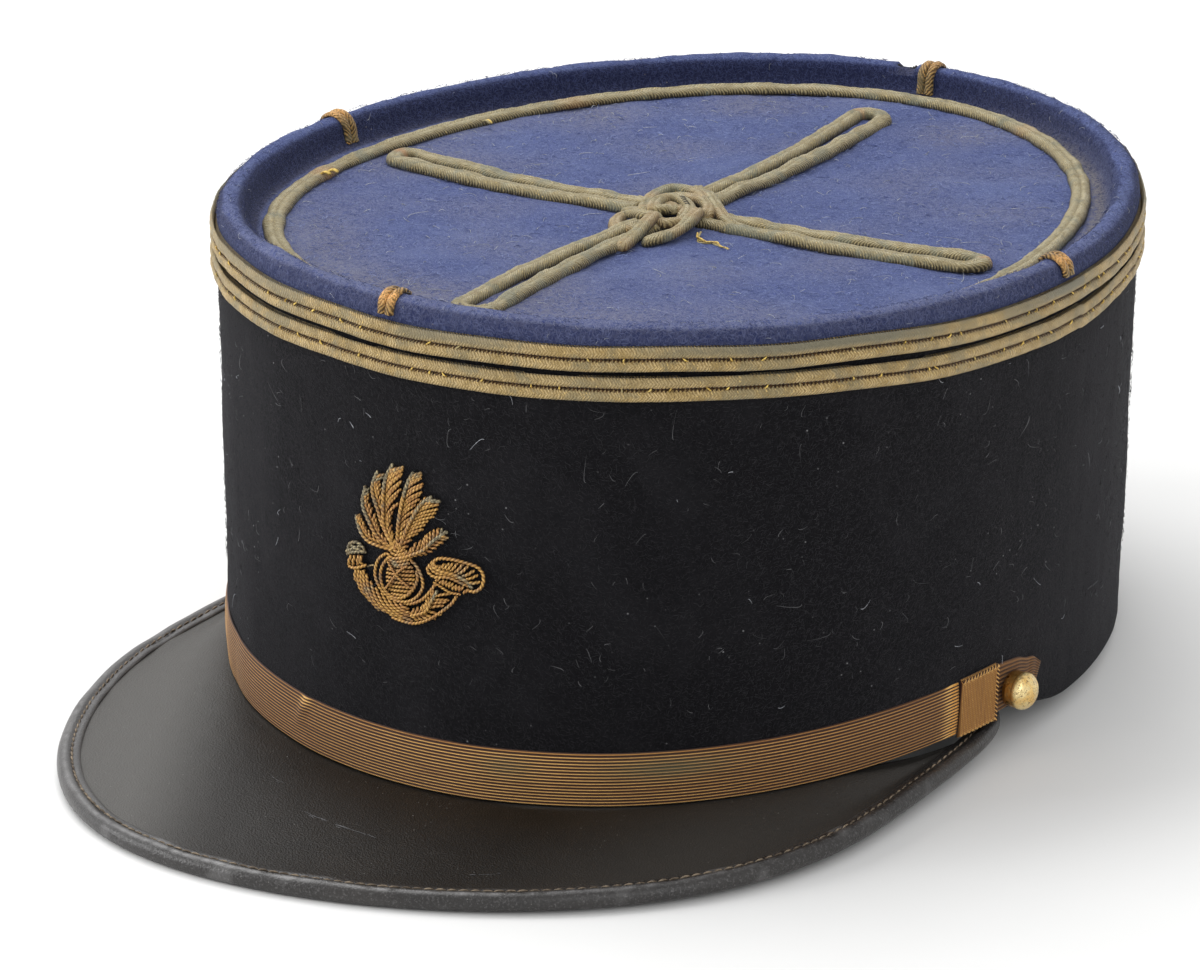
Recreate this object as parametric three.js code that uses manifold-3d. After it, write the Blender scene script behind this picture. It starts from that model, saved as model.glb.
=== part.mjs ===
// A stiff officer's cap: a felt band, a sunk blue top with a rolled rim, gilt braid and a flat leather visor.
// Millimetres, +Z up. The front of the cap faces -Y and the wearer's left is +X.
// The cap is drawn with its band level, then leant so that the visor's front and the band's back both rest.

import * as THREE from 'three';
import { TessellateModifier } from 'three/addons/modifiers/TessellateModifier.js';
import { mergeVertices } from 'three/addons/utils/BufferGeometryUtils.js';
import Module from 'manifold-3d';

const wasm = await Module();
wasm.setup();

// Crown sizes, from the band's lower edge up to the rim's crest
const bandHalfLength = 101.1;
const bandHalfWidth = 85.8;
const topHalfLength = 100;
const topHalfWidth = 89.2;
const capHeight = 93.7;
const wallThickness = 2.5;
const pieceGap = 0.3;

// Shares that turn the ellipse into the head's oval: wider in front, and leant a little
const frontWidening = 0.12;
const cornerFlattening = 0.007;
const lengthLean = 0.0147;

// Rolled rim and sunk top
const rimWidth = 5.6;
const recessDepth = 6;
const topThickness = 2;
const tearWidth = 6;
const tearDepth = 1.6;
const tearAngle = 98.8;

// Braids round the top of the band
const galonHeight = 5.2;
const galonThickness = 1.3;
const galonDrop = 2.1;
const galonSpacing = 0.7;

// Braid on the sunk top: an oval ring, four looped arms and a woven knot
const ringInset = 8.8;
const ringSidePinch = 2.6;
const ringWidth = 4.2;
const ringHeight = 1.5;
const strandWidth = 3.8;
const strandHeight = 1.8;
const armTipSpread = 3.3;
const knotX = -0.9;
const knotY = -8.7;
const knotRadius = 11.4;
const knotCordWidth = 2.4;
const knotCordHeight = 1.3;
const rightArmLength = 70;
const leftArmLength = 70.7;
const backArmLength = 83.5;
const frontArmLength = 77;

// Short braids over the rim
const rimTabWidth = 4.4;
const rimTabThickness = 1.2;

// Chin strap: the curve of its lower edge, and its section
const strapHeight = 11.1;
const strapThickness = 1.2;
const strapSideHeight = 4.42;
const strapFrontDrop = 6.44;
const strapWave = 1.65;
const strapEndAngle = 20;
const slideLength = 10.4;
const slideThickness = 0.8;
const strapEndLength = 15;
const strapEndThickness = 0.9;

// Buttons at the strap's ends
const buttonDiameter = 7.6;
const buttonDepth = 6;
const buttonAngle = 11.2;
const buttonShare = 0.42;

// Visor: an ellipse in front, a little askew, with sides that draw in and ends that round off at the band
const visorHalfWidth = 88.2;
const visorCentreY = -66;
const visorFrontY = -150.8;
const visorTipY = -15;
const visorSideDraw = 3.7;
const visorTipRound = 3.5;
const visorSkew = -13.6;
const visorThickness = 1.7;
const visorSlope = 0.067;
const visorTipHeight = -1.8;
const bindingThickness = 3.8;
const bindingWidth = 4.7;
const bindingSkin = 0.8;

// Where the band's lower edge rises over the visor's ends, in degrees behind the widest point
const notchStart = -14;
const notchEnd = 3;

// Badge on the front of the band
const badgeHeight = 32;
const badgeCentreHeight = 39;
const badgeThickness = 1.5;

// Facets round the cap, along the strap and along the visor
const roundSegments = 64;
const strapSegments = 36;
const visorSegments = 44;

const degrees = Math.PI / 180;
const frontAngle = -90 * degrees;

// The cap's oval at a height, drawn in by an inset measured square to it
function ovalPoint(angle, inset, height) {
  const rise = height / capHeight;
  const halfLength = bandHalfLength + (topHalfLength - bandHalfLength) * rise;
  const halfWidth = bandHalfWidth + (topHalfWidth - bandHalfWidth) * rise;
  const at = (a) => new THREE.Vector2(
    halfWidth * Math.cos(a) * (1 - frontWidening * Math.sin(a) - cornerFlattening * Math.cos(2 * a)),
    halfLength * (Math.sin(a) + lengthLean * Math.cos(2 * a)),
  );
  const step = 0.001;
  const along = at(angle + step).sub(at(angle - step)).normalize();
  const point = at(angle);
  return new THREE.Vector3(point.x - along.y * inset, point.y + along.x * inset, height);
}

// The strap's lower edge, which is also where the band's front meets the visor
function strapLowerEdge(angle) {
  return strapSideHeight + strapFrontDrop * Math.sin(angle) + strapWave * Math.cos(2 * angle);
}

// The band's lower edge: level at the back, raised over the visor's ends, lowest in front
function bandLowerEdge(angle) {
  const mirrored = Math.asin(Math.sin(angle));
  const back = THREE.MathUtils.smoothstep(mirrored / degrees, notchStart, notchEnd);
  return (1 - back) * strapLowerEdge(angle);
}

// Keeps positions only and joins shared corners
function plain(geometry) {
  const bare = geometry.index ? geometry.clone() : mergeVertices(geometry);
  bare.deleteAttribute('normal');
  bare.deleteAttribute('uv');
  return mergeVertices(bare, 1e-4);
}

// Moves every corner of a simple form to its place on the cap
function bend(geometry, place) {
  const bent = plain(geometry);
  const position = bent.attributes.position;
  const corner = new THREE.Vector3();
  for (let i = 0; i < position.count; i += 1) {
    corner.fromBufferAttribute(position, i);
    const moved = place(corner.x, corner.y, corner.z);
    position.setXYZ(i, moved.x, moved.y, moved.z);
  }
  return bent;
}

// A lathe form whose circle is moved onto the cap's oval; rows give inset and height
function ovalLathe(rows, place = ovalPoint) {
  const radius = topHalfWidth;
  const core = radius - rimWidth - ringInset;
  const points = rows.map((row) => new THREE.Vector2(Math.max(radius - row.inset, 0), row.height));
  const lathe = new THREE.LatheGeometry(points, roundSegments);
  lathe.rotateX(Math.PI / 2);
  return bend(lathe, (x, y, z) => {
    const away = Math.hypot(x, y);
    const angle = Math.atan2(y, x);
    if (away >= core) return place(angle, radius - away, z);
    const edge = place(angle, radius - core, z);
    return new THREE.Vector3((edge.x * away) / core, (edge.y * away) / core, edge.z);
  });
}

// A section drawn across, then carried along a run from 0 to 1 and bent into place
function sweepRun(section, steps, place) {
  const run = new THREE.ExtrudeGeometry(section, { depth: 1, steps, bevelEnabled: false });
  return bend(run, place);
}

function outline(points) {
  return new THREE.Shape(points.map(([x, y]) => new THREE.Vector2(x, y)));
}

// Solids for joins and cuts
function solid(geometry) {
  const bare = plain(geometry);
  return new wasm.Manifold(new wasm.Mesh({
    numProp: 3,
    vertProperties: new Float32Array(bare.attributes.position.array),
    triVerts: new Uint32Array(bare.index.array),
  }));
}

function fromSolid(body) {
  const mesh = body.getMesh();
  const geometry = new THREE.BufferGeometry();
  geometry.setAttribute('position', new THREE.BufferAttribute(mesh.vertProperties, 3));
  geometry.setIndex(new THREE.BufferAttribute(mesh.triVerts, 1));
  return geometry;
}

const cap = new THREE.Group();

function addPiece(name, geometry, color, roughness, metalness) {
  const faceted = geometry.toNonIndexed();
  faceted.computeVertexNormals();
  const mesh = new THREE.Mesh(faceted, new THREE.MeshStandardMaterial({ color, roughness, metalness }));
  mesh.name = name;
  cap.add(mesh);
}

const navyFelt = '#11121c';
const blueFelt = '#3a4a86';
const agedBraid = '#8d8360';
const copperBraid = '#a5713a';
const blackLeather = '#26241f';
const gilt = '#b98a3c';
const bullion = '#8a6d3c';

// Felt band: inset and height rows, with heights as shares from the lower edge to the top
const wallTop = capHeight - rimWidth - pieceGap;
const wallRows = [
  { inset: 0, height: 0 },
  { inset: 0, height: wallTop / 2 },
  { inset: 0, height: wallTop },
  { inset: wallThickness, height: wallTop },
  { inset: wallThickness, height: wallTop / 2 },
  { inset: wallThickness, height: 0 },
  { inset: 0, height: 0 },
];
const wallGeometry = ovalLathe(wallRows, (angle, inset, height) => {
  const lower = bandLowerEdge(angle);
  return ovalPoint(angle, inset, lower + (wallTop - lower) * (height / wallTop));
});
addPiece('crown_wall', wallGeometry, navyFelt, 0.95, 0);

// Blue top: a tray hung on the wall, with its rolled rim as an arc over the crest
const topLevel = capHeight - recessDepth;
const rimRadius = rimWidth / 2;
const rimCentreHeight = capHeight - rimRadius;
const rimFootIn = topThickness * 0.2;
const rimFootUp = topThickness * 0.3;
const rimArcTurns = [0, 30, 60, 90, 120, 150, 180];
const rimArc = rimArcTurns.map((turn) => ({
  inset: rimRadius - rimRadius * Math.cos(turn * degrees),
  height: rimCentreHeight + rimRadius * Math.sin(turn * degrees),
}));
const topRows = [
  { inset: topHalfWidth, height: topLevel - topThickness },
  { inset: wallThickness + pieceGap, height: topLevel - topThickness },
  { inset: wallThickness + pieceGap, height: wallTop + pieceGap },
  { inset: rimRadius * 0.2, height: wallTop + pieceGap },
  ...rimArc,
  { inset: rimWidth + rimFootIn, height: topLevel + rimFootUp },
  { inset: rimWidth + 4 * rimFootIn, height: topLevel },
  { inset: topHalfWidth, height: topLevel },
];
const tear = new THREE.CylinderGeometry(tearWidth / 2, tearWidth / 5, rimWidth * 2, 3);
const tearPlace = ovalPoint(tearAngle * degrees, rimRadius, capHeight);
tear.scale(1, 1, (2 * tearDepth) / tearWidth);
tear.translate(tearPlace.x, tearPlace.y, tearPlace.z);
addPiece('crown_top', fromSolid(solid(ovalLathe(topRows)).subtract(solid(tear))), blueFelt, 0.95, 0);

// Braids round the band: two ribs with a groove between them
function galonRows(top) {
  const back = -pieceGap;
  const front = -(pieceGap + galonThickness);
  const groove = -(pieceGap + galonThickness * 0.55);
  const shares = [
    { out: back, up: 0 },
    { out: front, up: 0.14 },
    { out: front, up: 0.4 },
    { out: groove, up: 0.5 },
    { out: front, up: 0.6 },
    { out: front, up: 0.86 },
    { out: back, up: 1 },
    { out: back, up: 0 },
  ];
  return shares.map((row) => ({ inset: row.out, height: top - galonHeight + galonHeight * row.up }));
}
const upperGalonTop = capHeight - galonDrop;
const lowerGalonTop = upperGalonTop - galonHeight - galonSpacing;
addPiece('upper_galon', ovalLathe(galonRows(upperGalonTop)), agedBraid, 0.6, 0.35);
addPiece('lower_galon', ovalLathe(galonRows(lowerGalonTop)), agedBraid, 0.6, 0.35);

// Oval ring on the sunk top, drawn in more at the sides than in front and behind
const braidLevel = topLevel + pieceGap;
const ringRows = [
  { inset: ringInset, height: braidLevel },
  { inset: ringInset + ringWidth * 0.1, height: braidLevel + ringHeight },
  { inset: ringInset + ringWidth * 0.5, height: braidLevel + ringHeight * 0.6 },
  { inset: ringInset + ringWidth * 0.9, height: braidLevel + ringHeight },
  { inset: ringInset + ringWidth, height: braidLevel },
  { inset: ringInset, height: braidLevel },
];
const ringGeometry = ovalLathe(ringRows, (angle, inset, height) => {
  const side = Math.cos(angle) ** 6;
  return ovalPoint(angle, inset + ringSidePinch * side, height);
});
addPiece('top_ring_braid', ringGeometry, agedBraid, 0.6, 0.3);

// Looped arms: bearing in degrees, and how far the middle bows to one side as a share of the length
const arms = [
  { side: 'left', bearing: 6.1, length: leftArmLength, bow: -0.026 },
  { side: 'back', bearing: 93.3, length: backArmLength, bow: -0.024 },
  { side: 'right', bearing: 180.5, length: rightArmLength, bow: 0.026 },
  { side: 'front', bearing: -87.3, length: frontArmLength, bow: -0.018 },
];
const strandSection = outline([
  [0, -strandWidth / 2],
  [-strandHeight * 0.7, -strandWidth / 2],
  [-strandHeight, -strandWidth * 0.25],
  [-strandHeight, strandWidth * 0.25],
  [-strandHeight * 0.7, strandWidth / 2],
  [0, strandWidth / 2],
]);
const armShares = [0, 0.2, 0.4, 0.6, 0.8, 1];
const armTipTurns = [45, 90, 135];
const armSteps = 46;
for (const arm of arms) {
  const start = knotRadius + knotCordWidth / 2 + pieceGap;
  const rootSpread = strandWidth / 2 + pieceGap / 2;
  const straightEnd = arm.length - armTipSpread - strandWidth / 2;
  const spread = (share) => rootSpread + (armTipSpread - rootSpread) * share;
  const bowAt = (share) => arm.bow * arm.length * Math.sin(share * Math.PI);
  const outward = armShares.map((share) => new THREE.Vector3(
    start + (straightEnd - start) * share,
    bowAt(share) + spread(share),
    0,
  ));
  const tip = armTipTurns.map((turn) => new THREE.Vector3(
    straightEnd + armTipSpread * Math.sin(turn * degrees),
    bowAt(1) + armTipSpread * Math.cos(turn * degrees),
    0,
  ));
  const inward = armShares.map((share) => new THREE.Vector3(
    start + (straightEnd - start) * share,
    bowAt(share) - spread(share),
    0,
  )).reverse();
  const route = new THREE.CatmullRomCurve3([...outward, ...tip, ...inward]);
  const loop = new THREE.ExtrudeGeometry(strandSection, {
    steps: armSteps,
    bevelEnabled: false,
    extrudePath: route,
  });
  loop.rotateZ(arm.bearing * degrees);
  loop.translate(knotX, knotY, braidLevel);
  addPiece(`braid_arm_${arm.side}`, plain(loop), agedBraid, 0.65, 0.3);
}

// Woven knot: one cord that goes three times round and passes over and under itself
const knotMiddle = (knotRadius - knotCordWidth / 2) * 0.62;
const knotSwing = knotRadius - knotCordWidth / 2 - knotMiddle;
const knotLift = knotCordHeight;
const knotSteps = 108;
function knotPoint(share) {
  const turn = share * 6 * Math.PI;
  const away = knotMiddle + knotSwing * Math.cos((turn * 4) / 3);
  const angle = turn + 45 * degrees;
  const lift = knotLift * Math.sin((turn * 8) / 3);
  return new THREE.Vector3(away * Math.cos(angle), away * Math.sin(angle), lift);
}
const knotTube = 0.25;
const knotGeometry = bend(new THREE.TorusGeometry(1, knotTube, 6, knotSteps), (x, y, z) => {
  const share = Math.atan2(y, x) / (2 * Math.PI);
  const ahead = knotPoint(share + 0.001).sub(knotPoint(share - 0.001)).setZ(0).normalize();
  const outward = ((Math.hypot(x, y) - 1) / knotTube) * (knotCordWidth / 2);
  const up = (z / knotTube) * (knotCordHeight / 2);
  return knotPoint(share).add(new THREE.Vector3(ahead.y * outward, -ahead.x * outward, up));
});
knotGeometry.translate(knotX, knotY, braidLevel + knotLift + knotCordHeight / 2);
addPiece('knot_centre', knotGeometry, agedBraid, 0.65, 0.3);

// Short braids over the rim: bearing round the cap in degrees
const rimTabs = [
  { side: 'front', bearing: -92 },
  { side: 'back', bearing: 94.5 },
  { side: 'left', bearing: -3.5 },
  { side: 'right', bearing: -175.3 },
];
const rimTabSection = outline([
  [-rimTabWidth / 2, 0],
  [rimTabWidth / 2, 0],
  [rimTabWidth * 0.4, rimTabThickness],
  [-rimTabWidth * 0.4, rimTabThickness],
]);
const rimTabStartHeight = upperGalonTop + pieceGap;
const rimTabLeg = rimCentreHeight - topLevel - rimFootUp - 2 * pieceGap;
const rimTabTurnSteps = 8;
const rimTabSteps = rimTabTurnSteps + 1;
for (const tab of rimTabs) {
  const strip = sweepRun(rimTabSection, rimTabSteps, (x, y, z) => {
    const lowTurn = Math.asin((rimTabStartHeight - rimCentreHeight) / rimRadius);
    const step = z * rimTabSteps;
    const turn = lowTurn + (Math.PI - lowTurn) * Math.min(step / rimTabTurnSteps, 1);
    const down = Math.max(step - rimTabTurnSteps, 0);
    const away = rimRadius + pieceGap + y;
    const inset = rimRadius - away * Math.cos(turn) + rimFootIn * down;
    const height = rimCentreHeight + away * Math.sin(turn) - rimTabLeg * down;
    const near = ovalPoint(tab.bearing * degrees, inset, height);
    const ahead = ovalPoint((tab.bearing + 1) * degrees, inset, height).sub(near).normalize();
    return near.addScaledVector(ahead, -x);
  });
  addPiece(`rim_tab_${tab.side}`, strip, copperBraid, 0.55, 0.4);
}

// Places on the outside of the band: millimetres from a bearing, height and distance out
function onBand(bearing, along, out, height) {
  const speed = ovalPoint(bearing + 0.01, 0, height).distanceTo(ovalPoint(bearing - 0.01, 0, height)) / 0.02;
  return ovalPoint(bearing + along / speed, -out, height);
}

// Chin strap, from slide to slide across the front
const strapSection = outline([
  [0, 0],
  [strapThickness, strapHeight * 0.04],
  [strapThickness, strapHeight * 0.96],
  [0, strapHeight],
]);
const strapFrom = -strapEndAngle;
const strapTo = -180 + strapEndAngle;
const strapGeometry = sweepRun(strapSection, strapSegments, (x, y, z) => {
  const angle = (strapFrom + (strapTo - strapFrom) * z) * degrees;
  return ovalPoint(angle, -pieceGap - x, strapLowerEdge(angle) + y);
});
addPiece('chin_strap', strapGeometry, copperBraid, 0.5, 0.4);

// Slides, strap ends and buttons at both ends of the strap
const slideEdge = slideThickness / 2;
const slideSection = outline([
  [0, 0],
  [slideThickness + strapThickness, slideEdge],
  [slideThickness + strapThickness, strapHeight - slideEdge],
  [0, strapHeight],
]);
for (const [side, sign, middle] of [['left', 1, 0], ['right', -1, -180]]) {
  const bearing = (middle - sign * strapEndAngle) * degrees;
  const edgeAt = (along) => {
    const point = onBand(bearing, sign * along, 0, strapSideHeight);
    return Math.atan2(point.y / bandHalfLength, point.x / bandHalfWidth);
  };
  const slide = sweepRun(slideSection, 4, (x, y, z) => {
    const along = pieceGap + slideLength * (sign > 0 ? 1 - z : z);
    const lower = strapLowerEdge(edgeAt(along));
    return onBand(bearing, sign * along, pieceGap + x, lower + y);
  });
  addPiece(`strap_slide_${side}`, slide, copperBraid, 0.55, 0.35);

  // The strap's end flares past the button and dips towards its corner
  const endSection = outline([
    [0, 0],
    [strapEndThickness, 0],
    [strapEndThickness, strapHeight],
    [0, strapHeight],
  ]);
  const end = sweepRun(endSection, 5, (x, y, z) => {
    const share = sign > 0 ? 1 - z : z;
    const along = slideLength + 2 * pieceGap + strapEndLength * share;
    const lower = strapLowerEdge(edgeAt(along));
    const narrowing = 1 - 0.3 * share;
    const lift = strapHeight * 0.12 * share;
    return onBand(bearing, sign * along, pieceGap + x, lower + lift + y * narrowing);
  });
  addPiece(`strap_end_${side}`, end, copperBraid, 0.55, 0.35);

  // Button: a short side and a dome, turned on an axis square to the band
  const radius = buttonDiameter / 2;
  const sideDepth = buttonDepth - radius;
  const rows = [[0, 0], [radius * 0.92, 0], [radius, sideDepth * 0.3], [radius, sideDepth]];
  for (const turn of [30, 60]) {
    rows.push([radius * Math.cos(turn * degrees), sideDepth + radius * Math.sin(turn * degrees)]);
  }
  rows.push([0, buttonDepth]);
  const button = new THREE.LatheGeometry(rows.map(([x, y]) => new THREE.Vector2(x, y)), 16);
  const buttonBearing = (middle - sign * buttonAngle) * degrees;
  const seatHeight = strapLowerEdge(buttonBearing) + strapHeight * buttonShare;
  const seat = ovalPoint(buttonBearing, -(strapEndThickness + 2 * pieceGap), seatHeight);
  const outward = seat.clone().sub(ovalPoint(buttonBearing, 0, seatHeight)).normalize();
  const turned = new THREE.Quaternion().setFromUnitVectors(new THREE.Vector3(0, 1, 0), outward);
  button.applyQuaternion(turned);
  button.translate(seat.x, seat.y, seat.z);
  addPiece(`button_${side}`, plain(button), gilt, 0.35, 0.9);
}

// The visor's outer edge from the right end round the front to the left end, and the way in from it
const tailShare = 0.17;
function visorEdge(share, inward) {
  const at = (s) => {
    const tailY = (part) => visorTipY + (visorCentreY - visorTipY) * part;
    const draw = (y) => {
      const towardsTip = (y - visorCentreY) / (visorTipY - visorCentreY);
      return visorSideDraw * towardsTip ** 2 + visorTipRound * towardsTip ** 10;
    };
    if (s < tailShare) {
      const y = tailY(s / tailShare);
      return new THREE.Vector2(-(visorHalfWidth - draw(y)), y);
    }
    if (s > 1 - tailShare) {
      const y = tailY((1 - s) / tailShare);
      return new THREE.Vector2(visorHalfWidth - draw(y), y);
    }
    const turn = Math.PI * ((s - tailShare) / (1 - 2 * tailShare));
    const forward = Math.sin(turn);
    return new THREE.Vector2(
      -visorHalfWidth * Math.cos(turn) + visorSkew * forward ** 3,
      visorCentreY + (visorFrontY - visorCentreY) * forward,
    );
  };
  const step = 0.002;
  const along = at(Math.min(share + step, 1)).sub(at(Math.max(share - step, 0))).normalize();
  const point = at(share);
  return new THREE.Vector2(point.x - along.y * inward, point.y + along.x * inward);
}

// Height of the binding's underside, a plane that falls towards the front
function bindingFloor(y) {
  return visorTipHeight + visorSlope * (y - visorTipY);
}

// Leather visor: rows from under the wall out into the binding's slot, where it lies flat
const leatherEnd = 0.05;
const flatMargin = bindingWidth + 2;
const leatherLift = bindingThickness - bindingSkin - pieceGap - visorThickness;
const leastFlatFrom = 0.02;
const visorRows = 5;
const visorBlock = new THREE.BoxGeometry(1, 1, 1, visorSegments, visorRows, 1);
const visorGeometry = bend(visorBlock, (x, y, z) => {
  const share = 0.5 - x;
  const outer = visorEdge(leatherEnd + (1 - 2 * leatherEnd) * share, bindingSkin + pieceGap);
  const innerAngle = (-180 - notchStart + (180 + 2 * notchStart) * share) * degrees;
  const inner = ovalPoint(innerAngle, wallThickness, 0);
  const width = Math.hypot(outer.x - inner.x, outer.y - inner.y);
  const flatFrom = Math.max(1 - flatMargin / width, leastFlatFrom);
  const underWall = Math.min(wallThickness / width, flatFrom / 2);
  const row = (y + 0.5) * visorRows;
  let out = underWall * row;
  if (row > 1) out = underWall + (flatFrom - underWall) * ((row - 1) / (visorRows - 2));
  if (row > visorRows - 1) out = flatFrom + (1 - flatFrom) * (row - visorRows + 1);
  const planX = inner.x + (outer.x - inner.x) * out;
  const planY = inner.y + (outer.y - inner.y) * out;
  const joint = bandLowerEdge(innerAngle) - pieceGap;
  const flat = bindingFloor(planY) + leatherLift + visorThickness;
  const reach = THREE.MathUtils.smoothstep(out, underWall, flatFrom);
  const dish = (1 - reach) * THREE.MathUtils.smoothstep(width, flatMargin, 3 * flatMargin);
  const top = flat + (joint - flat) * dish;
  return new THREE.Vector3(planX, planY, top - (0.5 - z) * visorThickness);
});
addPiece('visor', visorGeometry, blackLeather, 0.45, 0);

// Binding: a folded edge, open towards the leather
const bindingSection = outline([
  [0, bindingThickness * 0.3],
  [bindingThickness * 0.22, 0],
  [bindingWidth, 0],
  [bindingWidth, bindingSkin],
  [bindingSkin, bindingSkin],
  [bindingSkin, bindingThickness - bindingSkin],
  [bindingWidth, bindingThickness - bindingSkin],
  [bindingWidth, bindingThickness],
  [bindingThickness * 0.22, bindingThickness],
  [0, bindingThickness * 0.7],
]);
const bindingGeometry = sweepRun(bindingSection, visorSegments, (x, y, z) => {
  const plan = visorEdge(z, x);
  return new THREE.Vector3(plan.x, plan.y, bindingFloor(plan.y) + y);
});
addPiece('visor_binding', bindingGeometry, blackLeather, 0.4, 0);

// Badge: lengths in these tables are shares of the badge's height, from the middle of the ball
const ballWidthShare = 0.178;
const ballHeightShare = 0.153;
const flameRoot = 0.13;
const tongues = [
  { bearing: 151, length: 0.37, width: 0.075 },
  { bearing: 122, length: 0.46, width: 0.08 },
  { bearing: 106, length: 0.53, width: 0.085 },
  { bearing: 92, length: 0.58, width: 0.09 },
  { bearing: 77, length: 0.57, width: 0.09 },
  { bearing: 58, length: 0.49, width: 0.1 },
  { bearing: 29, length: 0.43, width: 0.09 },
];
const hornRows = [
  { x: -0.4, z: 0.12, half: 0.06 },
  { x: -0.37, z: 0.05, half: 0.035 },
  { x: -0.31, z: -0.08, half: 0.05 },
  { x: -0.17, z: -0.19, half: 0.065 },
  { x: 0, z: -0.235, half: 0.065 },
  { x: 0.16, z: -0.18, half: 0.075 },
  { x: 0.3, z: -0.06, half: 0.085 },
  { x: 0.36, z: 0.03, half: 0.09 },
];
const bell = { x: 0.4, z: 0.11, long: 0.19, short: 0.095, tilt: -8 };

function ellipseShape(x, z, long, short, tilt, count) {
  const shape = new THREE.Shape();
  shape.absellipse(x, z, long, short, 0, 2 * Math.PI, false, tilt * degrees);
  return new THREE.Shape(shape.getSpacedPoints(count).slice(0, count));
}

// A flat form cut from the badge drawing, in millimetres, with its back at zero
function badgeSlab(shape, from, to) {
  const slab = new THREE.ExtrudeGeometry(shape, { depth: to - from, bevelEnabled: false });
  slab.translate(0, 0, from);
  return solid(slab);
}

// Splits long edges first, so that the badge's back follows the round of the band
const badgeFacet = 7;
const badgeSplits = 8;
const splitter = new TessellateModifier(badgeFacet, badgeSplits);
function onBadge(body) {
  const fine = splitter.modify(fromSolid(body).toNonIndexed());
  return bend(fine, (x, y, z) => onBand(frontAngle, x, pieceGap + z, badgeCentreHeight + y));
}

const size = badgeHeight;
const ballFacets = 20;
const bellFacets = 16;
const ball = ellipseShape(0, 0, ballWidthShare * size, ballHeightShare * size, 0, ballFacets);
const ballRoom = ellipseShape(
  0,
  0,
  ballWidthShare * size + pieceGap,
  ballHeightShare * size + pieceGap,
  0,
  ballFacets,
);
const ballSolid = badgeSlab(ball, 0, badgeThickness * 1.2);
const ballRoomSolid = badgeSlab(ballRoom, -1, badgeThickness * 2);

let flameSolid = null;
for (const tongue of tongues) {
  const aim = tongue.bearing * degrees;
  const shape = new THREE.Shape();
  const at = (along, side) => [
    (Math.cos(aim) * along - Math.sin(aim) * side) * size,
    (flameRoot + Math.sin(aim) * along + Math.cos(aim) * side) * size,
  ];
  shape.moveTo(...at(-0.03, 0));
  shape.lineTo(...at(tongue.length * 0.45, -tongue.width / 2));
  shape.lineTo(...at(tongue.length * 0.8, -tongue.width * 0.4));
  shape.lineTo(...at(tongue.length, 0));
  shape.lineTo(...at(tongue.length * 0.8, tongue.width * 0.4));
  shape.lineTo(...at(tongue.length * 0.45, tongue.width / 2));
  const leaf = badgeSlab(shape, 0, badgeThickness);
  flameSolid = flameSolid ? flameSolid.add(leaf) : leaf;
}
flameSolid = flameSolid.subtract(ballRoomSolid);
addPiece('badge_flame', onBadge(flameSolid), bullion, 0.5, 0.5);
addPiece('badge_grenade', onBadge(ballSolid), bullion, 0.5, 0.5);

const hornSides = [1, -1].map((side) => hornRows.map((row, i) => {
  const before = hornRows[Math.max(i - 1, 0)];
  const after = hornRows[Math.min(i + 1, hornRows.length - 1)];
  const along = new THREE.Vector2(after.x - before.x, after.z - before.z).normalize();
  return [(row.x - along.y * row.half * side) * size, (row.z + along.x * row.half * side) * size];
}));
const hornShape = outline([...hornSides[1], ...hornSides[0].reverse()]);
const bellShape = ellipseShape(
  bell.x * size,
  bell.z * size,
  bell.long * size,
  bell.short * size,
  bell.tilt,
  bellFacets,
);
const hornSolid = badgeSlab(hornShape, 0, badgeThickness)
  .add(badgeSlab(bellShape, 0, badgeThickness * 1.1))
  .subtract(ballRoomSolid)
  .subtract(flameSolid);
addPiece('badge_horn', onBadge(hornSolid), bullion, 0.5, 0.5);

// Lean the cap until the visor's front edge and the band's back edge are level, then stand it on the floor
const restRun = ovalPoint(90 * degrees, 0, 0).y - visorFrontY;
const restLean = Math.atan(-bindingFloor(visorFrontY) / restRun);
cap.rotation.x = -restLean;
cap.updateMatrixWorld(true);
const box = new THREE.Box3().setFromObject(cap, true);
const middle = box.getCenter(new THREE.Vector3());
cap.position.set(-middle.x, -middle.y, -box.min.z);

const kepi = new THREE.Group();
kepi.add(cap);

export default kepi;
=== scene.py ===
# A stiff officer's kepi with a sunk blue top, gilt braid, a wire badge, a front chin strap and a flat visor.
# Shapes are worked out in millimetres with the band level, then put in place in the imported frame.
import math

import bmesh
import bpy
import numpy as np
from mathutils import Matrix, Vector


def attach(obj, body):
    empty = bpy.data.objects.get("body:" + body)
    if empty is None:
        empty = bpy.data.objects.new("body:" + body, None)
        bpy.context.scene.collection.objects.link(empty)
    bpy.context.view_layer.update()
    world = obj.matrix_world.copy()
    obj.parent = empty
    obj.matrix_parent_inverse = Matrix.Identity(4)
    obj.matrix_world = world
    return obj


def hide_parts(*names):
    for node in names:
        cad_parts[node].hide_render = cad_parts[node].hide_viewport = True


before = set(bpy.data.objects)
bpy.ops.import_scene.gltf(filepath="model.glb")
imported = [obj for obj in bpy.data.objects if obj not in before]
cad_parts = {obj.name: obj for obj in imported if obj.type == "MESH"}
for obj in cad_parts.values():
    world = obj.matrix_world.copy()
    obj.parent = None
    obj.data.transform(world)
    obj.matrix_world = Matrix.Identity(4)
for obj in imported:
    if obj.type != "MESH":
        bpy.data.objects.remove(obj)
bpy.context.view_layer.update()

# Sizes are in millimetres and angles in degrees, where nothing else is said
# Crown
BAND_HALF_LENGTH = 101.1
BAND_HALF_WIDTH = 85.8
TOP_HALF_LENGTH = 100.0
TOP_HALF_WIDTH = 89.2
CAP_HEIGHT = 93.7
WALL = 2.5
FRONT_WIDENING = 0.12
CORNER_FLATTENING = 0.007
LENGTH_LEAN = 0.0147
RIM_WIDTH = 5.6
RIM_RADIUS = RIM_WIDTH / 2
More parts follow.
